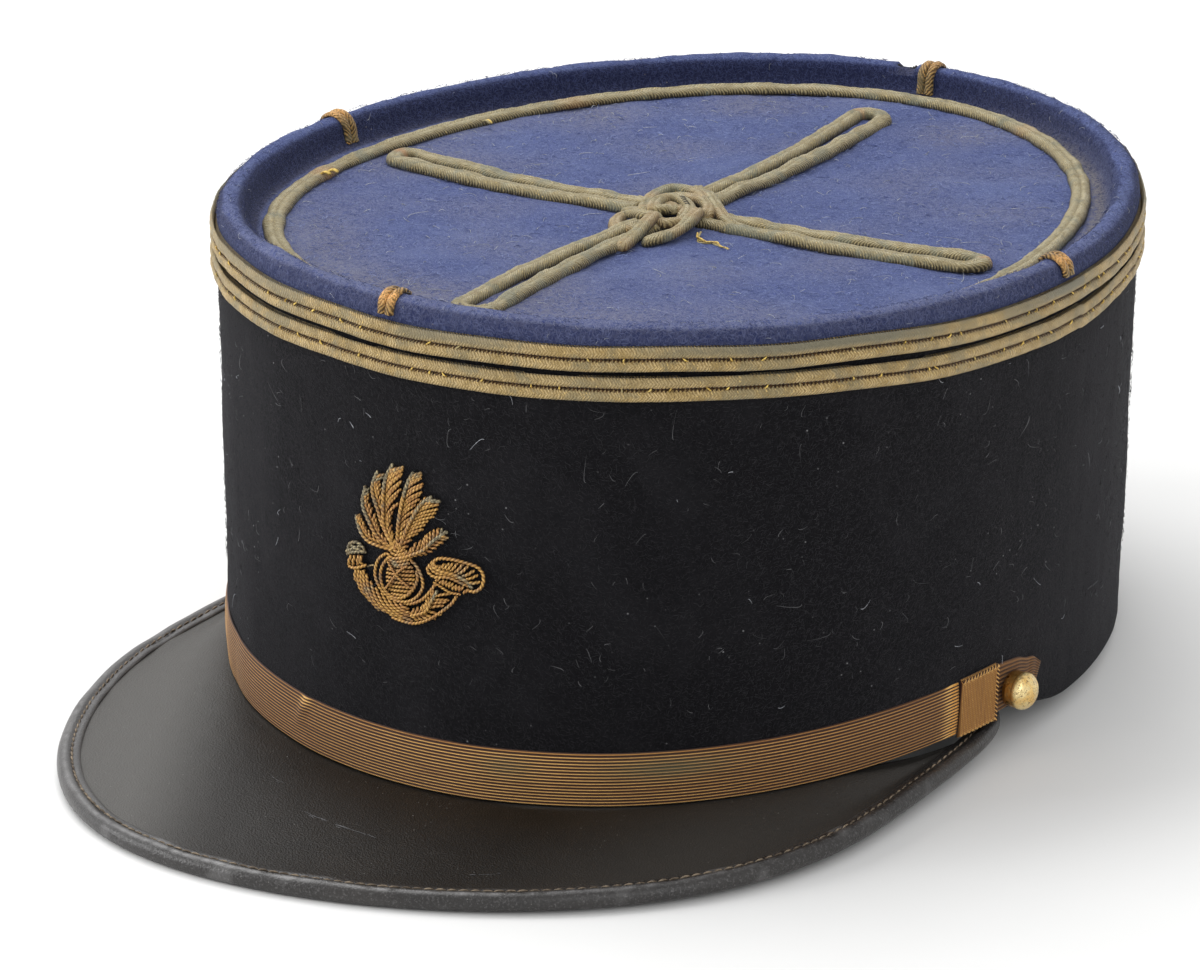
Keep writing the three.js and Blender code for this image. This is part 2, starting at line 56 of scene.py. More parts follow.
RIM_CENTRE = CAP_HEIGHT - RIM_RADIUS
TOP_LEVEL = 87.7
TOP_THICKNESS = 2.0
WALL_TOP = 87.8
RIM_RISE = 1.3
NEAR_SIDE = math.radians(65)
TEAR_ANGLE = math.radians(98.8)
TEAR_DEPTH = 0.95
# Torn ends of the stiffener: place along the tear, height and lean of each
SHARD_FOOT = 91.7
SHARDS = [
    (-2.4, 1.5, 0.3),
    (-1.9, 1.7, 0.5),
    (-1.3, 1.4, 0.4),
    (-0.7, 1.2, 0.2),
    (0.1, 1.05, 0.1),
    (0.9, 1.1, -0.2),
    (1.6, 1.3, -0.4),
    (2.3, 1.6, -0.3),
]

# Galons
GALON_HEIGHT = 5.2
GALON_THICKNESS = 1.3
UPPER_GALON_TOP = 91.6
LOWER_GALON_TOP = 85.7
GALON_SINK_FRONT = 0.9
GALON_SINK_LEFT = 1.5
STITCH_GAP = 5.5

# Braid on the top
BRAID_LEVEL = 87.9
RING_INSET = 8.8
RING_PINCH = 2.6
RING_WIDTH = 4.2
RING_HEIGHT = 1.5
STRAND_WIDTH = 3.8
STRAND_HEIGHT = 1.9
ARM_TIP_SPREAD = 3.3
CORD_HALF_WIDTH = 1.45
CORD_HEIGHT = 1.7
KNOT_X = -0.9
KNOT_Y = -8.7
KNOT_RADIUS = 11.4

# Tabs
TAB_WIDTH = 4.4
# Each tab: side, bearing, whether it runs down inside the rim, and how worn it is
TABS = [
    ("front", -92, False, 0.9),
    ("back", 94.5, True, 0.35),
    ("left", -3.5, False, 0.8),
    ("right", -175.3, True, 0.7),
]

# Strap
STRAP_HEIGHT = 11.1
STRAP_SIDE_HEIGHT = 4.42
STRAP_FRONT_DROP = 6.44
STRAP_WAVE = 1.65
STRAP_END_ANGLE = 20.0
STRAP_RIBS = 17
STRAP_FOLD_ANGLE = -105.0
SLIDE_LENGTH = 10.4
SLIDE_RIBS = 23
STRAP_END_LENGTH = 15.0
BUTTON_DIAMETER = 7.6
BUTTON_BRIM = 2.3
BUTTON_TOP = 5.1
BUTTON_ANGLE = 11.2
BUTTON_SHARE = 0.42
# Green stains: bearing from the left side, length, height on the strap and strength
GREEN_STAINS = [(57, 11, 7.6, 1.0), (76, 5, 7.5, 0.6)]

# Visor
VISOR_HALF_WIDTH = 88.2
VISOR_CENTRE_Y = -66.0
VISOR_FRONT_Y = -150.8
VISOR_TIP_Y = -12.6
VISOR_FLOOR_Y = -15.0
VISOR_SIDE_DRAW = 3.7
VISOR_TIP_ROUND = 3.5
VISOR_SKEW = -13.6
# Line that bounds the painted reflection on the visor's left: a point on it and the way across it, to the
# right
SHEEN_FOOT = (-54.1, -88.2)
SHEEN_ACROSS = (0.885, 0.465)
VISOR_THICKNESS = 1.7
VISOR_SLOPE = 0.067
VISOR_TIP_HEIGHT = -1.8
BINDING_THICKNESS = 3.8
BINDING_WIDTH = 4.7
BINDING_SKIN = 0.8
TAIL_SHARE = 0.17
NOTCH_START = -14.0
NOTCH_END = 3.0
# Scratches: start, end and how many lie side by side
SCRATCHES = [
    ((-13.5, -122.1), (12.3, -125.9), 9),
    ((32.8, -128.1), (39.3, -124.1), 3),
    ((-30, -112), (-12, -117), 3),
]

STITCH_STEP = 2.3
STITCH_INSET = 3.0

# Badge
BADGE_CENTRE = 39.0
WIRE_RADIUS = 0.345

# Place of the cap in the frame
LEAN = -0.04349490781
OFFSET = np.array([0.0, 23.5312, 4.3313])
LEAN_MATRIX = np.array([
    [1, 0, 0],
    [0, math.cos(LEAN), -math.sin(LEAN)],
    [0, math.sin(LEAN), math.cos(LEAN)],
])

UP = np.array([0.0, 0.0, 1.0])


def place(points):
    """From the level cap in millimetres to the leaning cap in the frame's metres."""
    return (np.asarray(points) @ LEAN_MATRIX.T + OFFSET) / 1000


def smooth(value, low, high):
    share = np.clip((value - low) / (high - low), 0, 1)
    return share * share * (3 - 2 * share)


def oval(angle, inset, height):
    """A point of the crown's outline at a height, drawn in by an inset."""
    angle, inset, height = np.broadcast_arrays(
        np.asarray(angle, float), np.asarray(inset, float), np.asarray(height, float))
    rise = height / CAP_HEIGHT
    length = BAND_HALF_LENGTH + (TOP_HALF_LENGTH - BAND_HALF_LENGTH) * rise
    width = BAND_HALF_WIDTH + (TOP_HALF_WIDTH - BAND_HALF_WIDTH) * rise

    def at(a):
        x = width * np.cos(a) * (1 - FRONT_WIDENING * np.sin(a) - CORNER_FLATTENING * np.cos(2 * a))
        return x, length * (np.sin(a) + LENGTH_LEAN * np.cos(2 * a))

    ahead, behind, here = at(angle + 0.001), at(angle - 0.001), at(angle)
    ax, ay = ahead[0] - behind[0], ahead[1] - behind[1]
    norm = np.hypot(ax, ay)
    ax, ay = ax / norm, ay / norm
    return np.stack([here[0] - ay * inset, here[1] + ax * inset, height], -1)


def strap_lower(angle):
    return STRAP_SIDE_HEIGHT + STRAP_FRONT_DROP * np.sin(angle) + STRAP_WAVE * np.cos(2 * angle)


def band_lower(angle):
    """The band's lower edge: level at the back, and along the strap's lower edge in front."""
    mirrored = np.degrees(np.arcsin(np.clip(np.sin(angle), -1, 1)))
    return (1 - smooth(mirrored, NOTCH_START, NOTCH_END)) * strap_lower(angle)


def rim_rise(angle, height):
    """How much higher the rolled rim stands towards the front left."""
    return RIM_RISE * smooth(np.cos(angle + NEAR_SIDE), 0.15, 0.8) * smooth(height, 89, 93)


def galon_sink(angle):
    """The galons sag a little at the front right and at the left side."""
    front = GALON_SINK_FRONT * smooth(np.cos(angle + math.radians(105)), 0.6, 0.95)
    return front + GALON_SINK_LEFT * smooth(np.cos(angle - math.radians(12)), 0.6, 0.97)


def on_band(bearing, along, out, height):
    """A point that lies a way along the band from a bearing, and stands out from it."""
    ahead, behind = oval(bearing + 0.01, 0, height), oval(bearing - 0.01, 0, height)
    speed = np.linalg.norm(ahead - behind, axis=-1) / 0.02
    return oval(bearing + along / speed, -np.asarray(out, float), height)


def ripple(points, wavelength, seed, count=14):
    """Smooth unevenness with about unit spread."""
    rng = np.random.default_rng(seed)
    waves = rng.normal(size=(count, points.shape[-1]))
    waves /= np.linalg.norm(waves, axis=1)[:, None]
    waves *= (2 * math.pi / wavelength) * rng.uniform(0.7, 1.4, count)[:, None]
    phase = rng.uniform(0, 2 * math.pi, count)
    return np.cos(points @ waves.T + phase).sum(-1) * math.sqrt(2 / count)


# Mesh parts: dictionaries of corners, faces, pattern coordinates (mm) and the shares "crest" and "wear"; the
# materials paint light and shade mostly from crest, and wear carries dust and wear and also painted light on
# the blue top's near rim, the visor and the binding
def grid(points, uv=None, closed_u=False, closed_v=False, crest=0.5, wear=0.0):
    nu, nv = points.shape[:2]
    iu = np.arange(nu if closed_u else nu - 1)[:, None]
    iv = np.arange(nv if closed_v else nv - 1)[None, :]
    ju, jv = (iu + 1) % nu, (iv + 1) % nv
    faces = np.stack([iu * nv + iv, ju * nv + iv, ju * nv + jv, iu * nv + jv], -1).reshape(-1, 4)
    if uv is None:
        uv = np.zeros((nu + closed_u, nv + closed_v, 2))
    corners = np.stack([uv[iu, iv], uv[iu + 1, iv], uv[iu + 1, iv + 1], uv[iu, iv + 1]], 2)
    shape = (nu, nv)
    return {
        "v": points.reshape(-1, 3),
        "f": [faces],
        "uv": [corners.reshape(-1, 2)],
        "crest": np.broadcast_to(crest, shape).reshape(-1),
        "wear": np.broadcast_to(wear, shape).reshape(-1),
    }


def pattern(along, across):
    """A grid's pattern coordinates, from the lists along and across it."""
    return np.stack(np.broadcast_arrays(along[:, None], across[None]), -1)


def with_back(shares):
    """Adds two rows of 0 for the back, which lies on the felt."""
    return np.concatenate([shares, np.zeros((len(shares), 2))], 1)


def close_ends(part, points):
    """Adds the two end faces of a tube whose grid runs from end to end."""
    n, m = points.shape[:2]
    part["f"].append(np.stack([np.arange(m)[::-1], (n - 1) * m + np.arange(m)]))
    part["uv"].append(np.zeros((2 * m, 2)))
    return part


def close_middle(part, points):
    """Adds the faces over the first and last ring of a grid that goes round."""
    n, m = points.shape[:2]
    part["f"].append(np.stack([np.arange(n)[::-1] * m, np.arange(n) * m + m - 1]))
    part["uv"].append(np.zeros((2 * n, 2)))
    return part


def join(parts):
    start, verts, faces, uv, crest, wear = 0, [], [], [], [], []
    for part in parts:
        verts.append(part["v"])
        crest.append(part["crest"])
        wear.append(part["wear"])
        faces += [f + start for f in part["f"]]
        uv += part["uv"]
        start += len(part["v"])
    return {"v": np.concatenate(verts), "f": faces, "uv": uv,
            "crest": np.concatenate(crest), "wear": np.concatenate(wear)}


def piece(name, parts, material, nodes=(), recalc=True):
    """Makes the object, which rides on the cap and stands for the named nodes."""
    whole = join(parts if isinstance(parts, list) else [parts])
    mesh = bpy.data.meshes.new(name)
    mesh.vertices.add(len(whole["v"]))
    mesh.vertices.foreach_set("co", place(whole["v"]).astype(np.float32).ravel())
    loops = np.concatenate([f.ravel() for f in whole["f"]])
    sizes = np.concatenate([np.full(len(f), f.shape[1]) for f in whole["f"]])
    mesh.loops.add(len(loops))
    mesh.loops.foreach_set("vertex_index", loops.astype(np.int32))
    mesh.polygons.add(len(sizes))
    mesh.polygons.foreach_set("loop_start", (np.cumsum(sizes) - sizes).astype(np.int32))
    layer = mesh.uv_layers.new(name="thread")
    layer.uv.foreach_set("vector", np.concatenate(whole["uv"]).astype(np.float32).ravel())
    mesh.update(calc_edges=True)
    for key in ("crest", "wear"):
        attribute = mesh.attributes.new(key, "FLOAT", "POINT")
        attribute.data.foreach_set("value", whole[key].astype(np.float32))
    if recalc:
        work = bmesh.new()
        work.from_mesh(mesh)
        bmesh.ops.recalc_face_normals(work, faces=work.faces)
        work.to_mesh(mesh)
        work.free()
    mesh.polygons.foreach_set("use_smooth", np.full(len(mesh.polygons), True))
    mesh.update()
    obj = bpy.data.objects.new(name, mesh)
    bpy.context.scene.collection.objects.link(obj)
    obj.data.materials.append(material)
    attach(obj, "root")
    if nodes:
        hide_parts(*nodes)


def unit(vectors):
    return vectors / np.maximum(np.linalg.norm(vectors, axis=-1), 1e-9)[..., None]


def tangents(path, closed=False):
    if closed:
        return unit(np.roll(path, -1, 0) - np.roll(path, 1, 0))
    return unit(np.gradient(path, axis=0))


def run_lengths(path):
    return np.concatenate([[0], np.cumsum(np.linalg.norm(np.diff(path, axis=0), axis=1))])


def resample(path, step):
    lengths = run_lengths(path)
    count = max(int(round(lengths[-1] / step)) + 1, 4)
    at = np.linspace(0, lengths[-1], count)
    return np.stack([np.interp(at, lengths, path[:, k]) for k in range(path.shape[1])], 1)


def curve(points, count=200):
    """Catmull-Rom curve through the points."""
    p = np.asarray(points, float)
    p = np.vstack([2 * p[0] - p[1], p, 2 * p[-1] - p[-2]])
    out = []
    segments = len(p) - 3
    for i in range(segments):
        t = np.linspace(0, 1, max(count // segments, 3), endpoint=i == segments - 1)[:, None]
        a, b, c, d = p[i:i + 4]
        out.append(0.5 * (2 * b + (c - a) * t + (2 * a - 5 * b + 4 * c - d) * t ** 2
                          + (3 * b - a - 3 * c + d) * t ** 3))
    return np.vstack(out)


def sweep(path, normal, section, closed=False, uv_v=None, crest=0.5, wear=0.0):
    """Carries a closed section (side, up) along a path; section may differ at each station."""
    n = len(path)
    along = tangents(path, closed)
    normal = np.broadcast_to(normal, path.shape)
    side = unit(np.cross(along, normal))
    up = unit(np.cross(side, along))
    section = np.broadcast_to(section, (n,) + section.shape[-2:])
    points = path[:, None] + side[:, None] * section[..., :1] + up[:, None] * section[..., 1:]
    lengths = run_lengths(np.vstack([path, path[:1]]) if closed else path)
    v = uv_v if uv_v is not None else section[0, :, 0]
    v = np.append(v, v[0])
    uv = pattern(lengths, v)
    wear = np.asarray(wear)
    if wear.ndim == 1:
        wear = wear[:, None]
    part = grid(points, uv, closed, True, crest, wear)
    return part if closed else close_ends(part, points)


def round_section(half_width, height, count):
    """A braid's section: flat underneath, rounded on top."""
    fullness = 2 / 2.4
    turn = np.linspace(math.pi, 0, count - 2)
    side = np.sign(np.cos(turn)) * np.abs(np.cos(turn)) ** fullness * half_width
    up = np.abs(np.sin(turn)) ** fullness * height
    foot = half_width * 0.8
    return np.vstack([np.stack([side, up], 1), [[foot, -0.02], [-foot, -0.02]]])


def braid_strand(path, normal, half_width, height, count=15, groove=0.1, wear=0.0, closed=False,
                 taper=0.0, seed=1, shift=0.0):
    """A soft braid with a shallow groove and an uneven, hand-laid form."""
    section = round_section(half_width, height, count)
    lengths = run_lengths(path)
    side = section[:, 0]
    share = np.abs(side) / half_width
    top = section[:, 1] > 0.05
    along = np.stack([lengths, lengths * 0], 1)
    lump = ripple(pattern(lengths, side * 3), 2.6, seed + 3)
    if closed:
        total = lengths[-1] + np.linalg.norm(path[0] - path[-1])
        lump = lump * smooth(np.minimum(lengths, total - lengths), 0, 4)[:, None]
    lift = 0.035 * lump * top[None] - groove * (np.exp(-(share / 0.15) ** 2) * top)[None]
    swell = 1 + 0.05 * ripple(along, 9.0, seed + 7)[:, None]
    if closed:
        swell = 1 + (swell - 1) * smooth(np.minimum(lengths, total - lengths), 0, 6)[:, None]
    outward = unit(np.stack([side * 0.6, np.maximum(section[:, 1], 0.01)], 1))
    sections = section[None] + outward[None] * lift[..., None]
    sections = sections * swell[..., None]
    if taper:
        from_end = np.minimum(lengths, lengths[-1] - lengths)
        sections *= (0.25 + 0.75 * np.sqrt(smooth(from_end, -0.2, taper)))[:, None, None]
    # Crest, from which the braid materials paint light and shade, is the height on the section and lower in
    # the groove
    seam = 1 - 0.5 * np.exp(-(share / 0.12) ** 2) * (groove > 0)
    crest = np.clip(section[:, 1] / height, 0, 1)[None] ** 1.5 * seam
    crest = np.broadcast_to(crest, sections.shape[:2])
    return sweep(path, normal, sections, closed=closed, uv_v=side + shift, crest=crest, wear=wear)


def tubes(paths, radii, sides=3):
    """Many thin tubes at once: paths (count, points, 3), radii (count, points)."""
    count, n = paths.shape[:2]
    along = unit(np.gradient(paths, axis=1))
    guide = np.where(np.abs(along[..., 2:]) < 0.8, UP, np.array([1.0, 0.0, 0.0]))
    side = unit(np.cross(along, guide))
    up = np.cross(side, along)
    turn = np.arange(sides) * 2 * math.pi / sides
    ring = side[:, :, None] * np.cos(turn)[:, None] + up[:, :, None] * np.sin(turn)[:, None]
    points = paths[:, :, None] + ring * radii[:, :, None, None]
    base = (np.arange(count) * n * sides)[:, None]
    ring_start = base[..., None] + np.arange(n - 1)[None, :, None] * sides
    k = np.arange(sides)
    following = (k + 1) % sides
    corners = [ring_start + k, ring_start + sides + k, ring_start + sides + following, ring_start + following]
    faces = np.stack(corners, -1).reshape(-1, 4)
    caps = np.vstack([base + k[::-1], base + (n - 1) * sides + k])
    length = np.broadcast_to(np.linspace(0, 1, n)[None, :, None], (count, n, sides)).reshape(-1)
    return {
        "v": points.reshape(-1, 3),
        "f": [faces, caps],
        "uv": [np.zeros((faces.size, 2)), np.zeros((caps.size, 2))],
        "crest": length,
        "wear": np.repeat(np.random.default_rng(count).uniform(0, 1, count), n * sides),
    }


# Materials
class Shader:
    """Builds one material's nodes; values are sockets, numbers or colours."""

    def __init__(self, name, **sockets):
        self.material = bpy.data.materials.new(name)
        self.material.use_nodes = True
        self.tree = self.material.node_tree
        self.tree.nodes.clear()
        out = self.tree.nodes.new("ShaderNodeOutputMaterial")
        self.bsdf = self.tree.nodes.new("ShaderNodeBsdfPrincipled")
        self.tree.links.new(self.bsdf.outputs[0], out.inputs[0])
        for key, value in sockets.items():
            self.bsdf.inputs[key.replace("_", " ")].default_value = value

    def link(self, source, target):
        if isinstance(source, (int, float, tuple)):
            target.default_value = source
        else:
            self.tree.links.new(source, target)

    def new(self, kind, **settings):
        node = self.tree.nodes.new(kind)
        for key, value in settings.items():
            setattr(node, key, value)
        return node

    def mm(self):
        """The place on the object in millimetres."""
        node = self.new("ShaderNodeVectorMath", operation="SCALE")
        node.inputs["Scale"].default_value = 1000
        self.link(self.new("ShaderNodeTexCoord").outputs["Object"], node.inputs[0])
        return node.outputs[0]

    def thread(self):
        """The pattern coordinates: along and across the threads."""
        split = self.new("ShaderNodeSeparateXYZ")
        self.link(self.new("ShaderNodeUVMap", uv_map="thread").outputs[0], split.inputs[0])
        return split.outputs[0], split.outputs[1]

    def share(self, name):
        return self.new("ShaderNodeAttribute", attribute_name=name).outputs["Fac"]

    def vector(self, x, y, z=0.0):
        node = self.new("ShaderNodeCombineXYZ")
        for value, socket in zip((x, y, z), node.inputs):
            self.link(value, socket)
        return node.outputs[0]

    def stretch(self, vector, factors):
        node = self.new("ShaderNodeVectorMath", operation="MULTIPLY")
        self.link(vector, node.inputs[0])
        node.inputs[1].default_value = factors
        return node.outputs[0]

    def noise(self, vector, scale, detail=2.0, rough=0.5, distort=0.0):
        node = self.new("ShaderNodeTexNoise")
        self.link(vector, node.inputs["Vector"])
        node.inputs["Scale"].default_value = scale
        node.inputs["Detail"].default_value = detail
        node.inputs["Roughness"].default_value = rough
        node.inputs["Distortion"].default_value = distort
        return node.outputs[0]

    def cells(self, vector, scale):
        node = self.new("ShaderNodeTexVoronoi", feature="F1")
        self.link(vector, node.inputs["Vector"])
        node.inputs["Scale"].default_value = scale
        return node.outputs[0]

    def times(self, a, b):
        return self.math("MULTIPLY", a, b)

    def plus(self, a, b, clamp=False):
        return self.math("ADD", a, b, clamp)

    def math(self, operation, a, b=0.0, clamp=False):
        node = self.new("ShaderNodeMath", operation=operation, use_clamp=clamp)
        self.link(a, node.inputs[0])
        self.link(b, node.inputs[1])
        return node.outputs[0]

    def fit(self, value, low, high, to_low=0.0, to_high=1.0):
        """Maps low to high smoothly onto another range."""
        node = self.new("ShaderNodeMapRange", interpolation_type="SMOOTHSTEP")
        self.link(value, node.inputs[0])
        for socket, number in zip((1, 2, 3, 4), (low, high, to_low, to_high)):
            node.inputs[socket].default_value = number
        return node.outputs[0]

    def mix(self, share, a, b):
        node = self.new("ShaderNodeMix", data_type="RGBA")
        self.link(share, node.inputs[0])
        for value, socket in ((a, node.inputs[6]), (b, node.inputs[7])):
            self.link(value + (1.0,) if isinstance(value, tuple) else value, socket)
        return node.outputs[2]

    def fibres(self, x, y, angle, length, width, seed, low, high):
        """Light streaks that lie one way, like single hairs of a nap."""
        c, w = math.cos(math.radians(angle)), math.sin(math.radians(angle))
        along = self.plus(self.times(x, c / length), self.times(y, w / length))
        across = self.plus(self.times(x, -w / width), self.times(y, c / width))
        bend = self.times(self.noise(self.vector(along, seed, 0.0), 1.3, 1.0), 4.0)
        streaks = self.noise(self.vector(along, self.plus(across, bend), seed), 1.0, 1.5)
        return self.fit(streaks, low, high)

    def color(self, value):
        self.link(value, self.bsdf.inputs["Base Color"])

    def rough(self, value):
        self.link(value, self.bsdf.inputs["Roughness"])

    def metal(self, value):
        self.link(value, self.bsdf.inputs["Metallic"])

    def bump(self, height, depth_mm, strength):
        node = self.new("ShaderNodeBump")
        node.inputs["Strength"].default_value = strength
        node.inputs["Distance"].default_value = depth_mm / 1000
        self.link(height, node.inputs["Height"])
        self.link(node.outputs[0], self.bsdf.inputs["Normal"])


def felt(name, deep, mid, light, shade, dust_and_light, sheen_tint, spread):
    """Napped felt: crest 0 marks the low places, painted in shade; wear marks where it is dusty, and on the
    blue top's near rim painted light as well.
    """
    s = Shader(name, Roughness=0.95, Specular_IOR_Level=0.12,
               Sheen_Weight=0.1, Sheen_Roughness=0.4, Sheen_Tint=sheen_tint + (1.0,))
    x, y = s.thread()
    mm = s.mm()
    nap = s.noise(mm, 1.1, 6.0, 0.68, 1.2)
    grain = s.noise(mm, 3.2, 3.0, 0.6)
    layers = [s.fibres(x, y, angle, 1.5, 0.26, seed, spread, spread + 0.16)
              for seed, angle in enumerate((12.0, 64.0, 118.0, 161.0))]
    first = s.math("MAXIMUM", layers[0], layers[1])
    second = s.math("MAXIMUM", layers[2], layers[3])
    hairs = s.math("MAXIMUM", first, second)
    broad = s.noise(mm, 0.06, 3.0, 0.55, 0.4)
    colour = s.mix(s.fit(nap, 0.32, 0.68), deep, mid)
    colour = s.mix(s.fit(grain, 0.5, 0.8, 0.0, 0.5), colour, light)
    colour = s.mix(s.times(hairs, 0.6), colour, light)
    colour = s.mix(s.fit(broad, 0.45, 0.7, 0.0, 0.2), colour, light)
    dark = s.mix(s.times(hairs, 0.45), shade, mid)
    colour = s.mix(s.fit(s.share("crest"), 0.1, 0.9), dark, colour)
    speck = s.fit(s.cells(mm, 0.42), 0.04, 0.1, 1.0, 0.0)
    patch = s.fit(s.noise(mm, 0.05, 4.0, 0.6), 0.5, 0.62)
    colour = s.mix(s.times(s.times(speck, patch), 0.7), colour, dust_and_light)
    # Dust, and on the blue top's near rim painted light, lightens the felt towards the dust colour
    dust_and_light_share = s.times(s.share("wear"), s.fit(s.plus(nap, s.times(hairs, 0.2)), 0.4, 0.62))
    colour = s.mix(dust_and_light_share, colour, dust_and_light)
    s.color(colour)
    s.bump(s.plus(s.times(nap, 0.8), s.times(hairs, 0.5)), 0.4, 0.9)
    return s.material


def braid(name, deep, mid, crest, bright, tarnish, pitch, slope, weave, worn=None, tarnish_cut=0.5,
          tick=False):
    """Gilt thread braid with slanted threads; tick draws the saw-tooth seam of a galon."""
    s = Shader(name, Specular_IOR_Level=0.35, Sheen_Weight=0.15, Sheen_Roughness=0.4)
    u, v = s.thread()
    mm = s.mm()
    away = s.math("ABSOLUTE", v)
    wobble = s.times(s.math("SUBTRACT", s.noise(mm, 0.8, 3.0), 0.5), 1.6)
    phase = s.plus(s.math("DIVIDE", s.plus(u, s.times(away, slope)), pitch), wobble)
    thread = s.plus(s.times(s.math("COSINE", s.times(phase, 2 * math.pi)), 0.5), 0.5)
    grain = s.noise(mm, 2.6, 4.0, 0.65)
    patch = s.noise(mm, 0.3, 4.0, 0.6, 0.5)
    height = s.share("crest")
    # Painted light and shade: the hollows between threads and the braid's sides go deep, the tops of the
    # threads mid and crest
    shade = s.plus(s.times(s.math("SUBTRACT", thread, 0.25), weave), s.times(height, 1.05 - weave / 2))
    colour = s.mix(s.fit(shade, 0.08, 0.55), deep, mid)
    colour = s.mix(s.times(s.fit(shade, 0.5, 1.0), s.fit(patch, 0.3, 0.62)), colour, crest)
    colour = s.mix(s.fit(grain, 0.3, 0.52, 0.5, 0.0), colour, deep)
    stain = s.fit(s.noise(mm, 0.11, 5.0, 0.65, 0.8), tarnish_cut, tarnish_cut + 0.14)
    colour = s.mix(s.times(s.times(stain, s.fit(grain, 0.3, 0.6, 0.4, 0.8)), 0.8), colour, tarnish)
    # Painted glints: small bright spots on the tops of the threads
    glint = s.times(s.fit(s.noise(mm, 2.1, 2.0, 0.5), 0.6, 0.7), s.fit(thread, 0.3, 0.9))
    colour = s.mix(s.times(glint, 0.55), colour, bright)
    if tick:
        saw = s.math("COSINE", s.times(s.math("SUBTRACT", u, s.times(v, 0.6)), 2 * math.pi / 0.8))
        seam = s.fit(s.plus(v, s.times(saw, 0.2)), 0.98, 1.08)
        colour = s.mix(seam, colour, s.mix(s.fit(grain, 0.4, 0.6), (0.02, 0.011, 0.005), (0.13, 0.06, 0.016)))
    colour = s.mix(s.share("wear"), colour, worn or s.mix(s.fit(grain, 0.35, 0.6), mid, bright))
    s.color(colour)
    s.rough(s.fit(grain, 0.3, 0.7, 0.65, 0.45))
    s.metal(0.2)
    s.bump(s.plus(s.times(thread, 1.1), grain), 0.16, 0.95)
    return s.material


NAVY = felt(
    "navy_felt",
    deep=(0.0028, 0.0027, 0.0035),
    mid=(0.0066, 0.0063, 0.0078),
    light=(0.021, 0.02, 0.023),
    shade=(0.0028, 0.0027, 0.0035),
    dust_and_light=(0.3, 0.3, 0.31),
    sheen_tint=(0.75, 0.74, 0.8),
    spread=0.6,
)
BLUE = felt(
    "blue_felt",
    deep=(0.042, 0.057, 0.175),
    mid=(0.085, 0.11, 0.275),
    light=(0.2, 0.25, 0.46),
    shade=(0.013, 0.017, 0.055),
    dust_and_light=(0.27, 0.25, 0.25),
    sheen_tint=(0.8, 0.85, 1.0),
    spread=0.54,
)
BRAID = braid(
    "aged_braid",
    deep=(0.04, 0.03, 0.012),
    mid=(0.31, 0.25, 0.125),
    crest=(0.5, 0.44, 0.28),
    bright=(0.8, 0.58, 0.2),
    tarnish=(0.17, 0.19, 0.145),
    pitch=0.66,
    slope=1.3,
    weave=0.4,
    worn=(0.58, 0.25, 0.085),
)
GALON = braid(
    "galon_braid",
    deep=(0.06, 0.035, 0.01),
    mid=(0.35, 0.24, 0.087),
    crest=(0.58, 0.43, 0.21),
    bright=(0.95, 0.66, 0.22),
    tarnish=(0.2, 0.18, 0.11),
    pitch=0.62,
    slope=0.7,
    weave=0.75,
    worn=(0.2, 0.18, 0.12),
    tarnish_cut=0.47,
    tick=True,
)
COPPER = braid(
    "copper_braid",
    deep=(0.03, 0.013, 0.004),
    mid=(0.2, 0.115, 0.032),
    crest=(0.4, 0.25, 0.08),
    bright=(0.95, 0.5, 0.17),
    tarnish=(0.2, 0.17, 0.09),
    pitch=0.95,
    slope=1.2,
    weave=1.25,
)


# Felt band
def felt_band():
    angle = np.linspace(0, 2 * math.pi, 420, endpoint=False)
    edge = WALL / 2
    turn = np.linspace(0, math.pi, 9)
    arc = np.stack([edge - edge * np.cos(turn), edge - edge * np.sin(turn)], 1)
    rows = [(0.0, 1 - k / 30, 0.0) for k in range(30)]
    rows += [(inset, 0.0, up) for inset, up in arc]
    rows += [(WALL, k / 14, 0.0) for k in range(1, 15)]
    inset = np.array([r[0] for r in rows])
    share = np.array([r[1] for r in rows])
    up = np.array([r[2] for r in rows])
    lower = band_lower(angle)[:, None]
    height = lower + edge * (share > 0) * (1 - share) + up + (WALL_TOP - lower) * share
    points = oval(angle[:, None], inset[None], height)
    flat = points.reshape(-1, 3)
    bump = 0.12 * ripple(flat, 30, 3) + 0.05 * ripple(flat, 7, 4)
    outward = unit(flat * np.array([1, 1, 0]))
    inside = np.repeat((inset > 0)[None], len(angle), 0).reshape(-1)
    points = (flat + outward * (bump * np.where(inside, 0.3, 1.0))[:, None]).reshape(points.shape)
    around = np.append(angle, 2 * math.pi) * BAND_HALF_LENGTH
    down = np.where(inset > 0, 200 - height[0], height[0])
    down = np.append(down, down[0])
    uv = pattern(around, down)
    # Painted shade: the band's felt darkens towards its lower edge and just under the lower galon
    crest = smooth(height, 0, 9) * (1 - smooth(height, 79, 81) * 0.5)
    piece("felt_band", grid(points, uv, True, True, crest), NAVY, ["crown_wall"])


# Blue top with its rolled rim
def tear_share(points):
    """How deep in the torn part of the rim a point lies."""
    spot = oval(TEAR_ANGLE, RIM_RADIUS, CAP_HEIGHT)
    along = unit(oval(TEAR_ANGLE + 0.01, 0, CAP_HEIGHT) - oval(TEAR_ANGLE - 0.01, 0, CAP_HEIGHT))
    gap = points - spot
    near = np.linalg.norm(gap, axis=-1) < 12
    ragged = 2.5 + 0.5 * np.sin(points[..., 1] * 3.1) + 0.4 * np.sin(points[..., 0] * 4.3)
    inside = 1 - smooth(np.abs(gap @ along), ragged * 0.8, ragged * 1.1)
    return near * inside * smooth(points[..., 2], 91.8, 92.6)


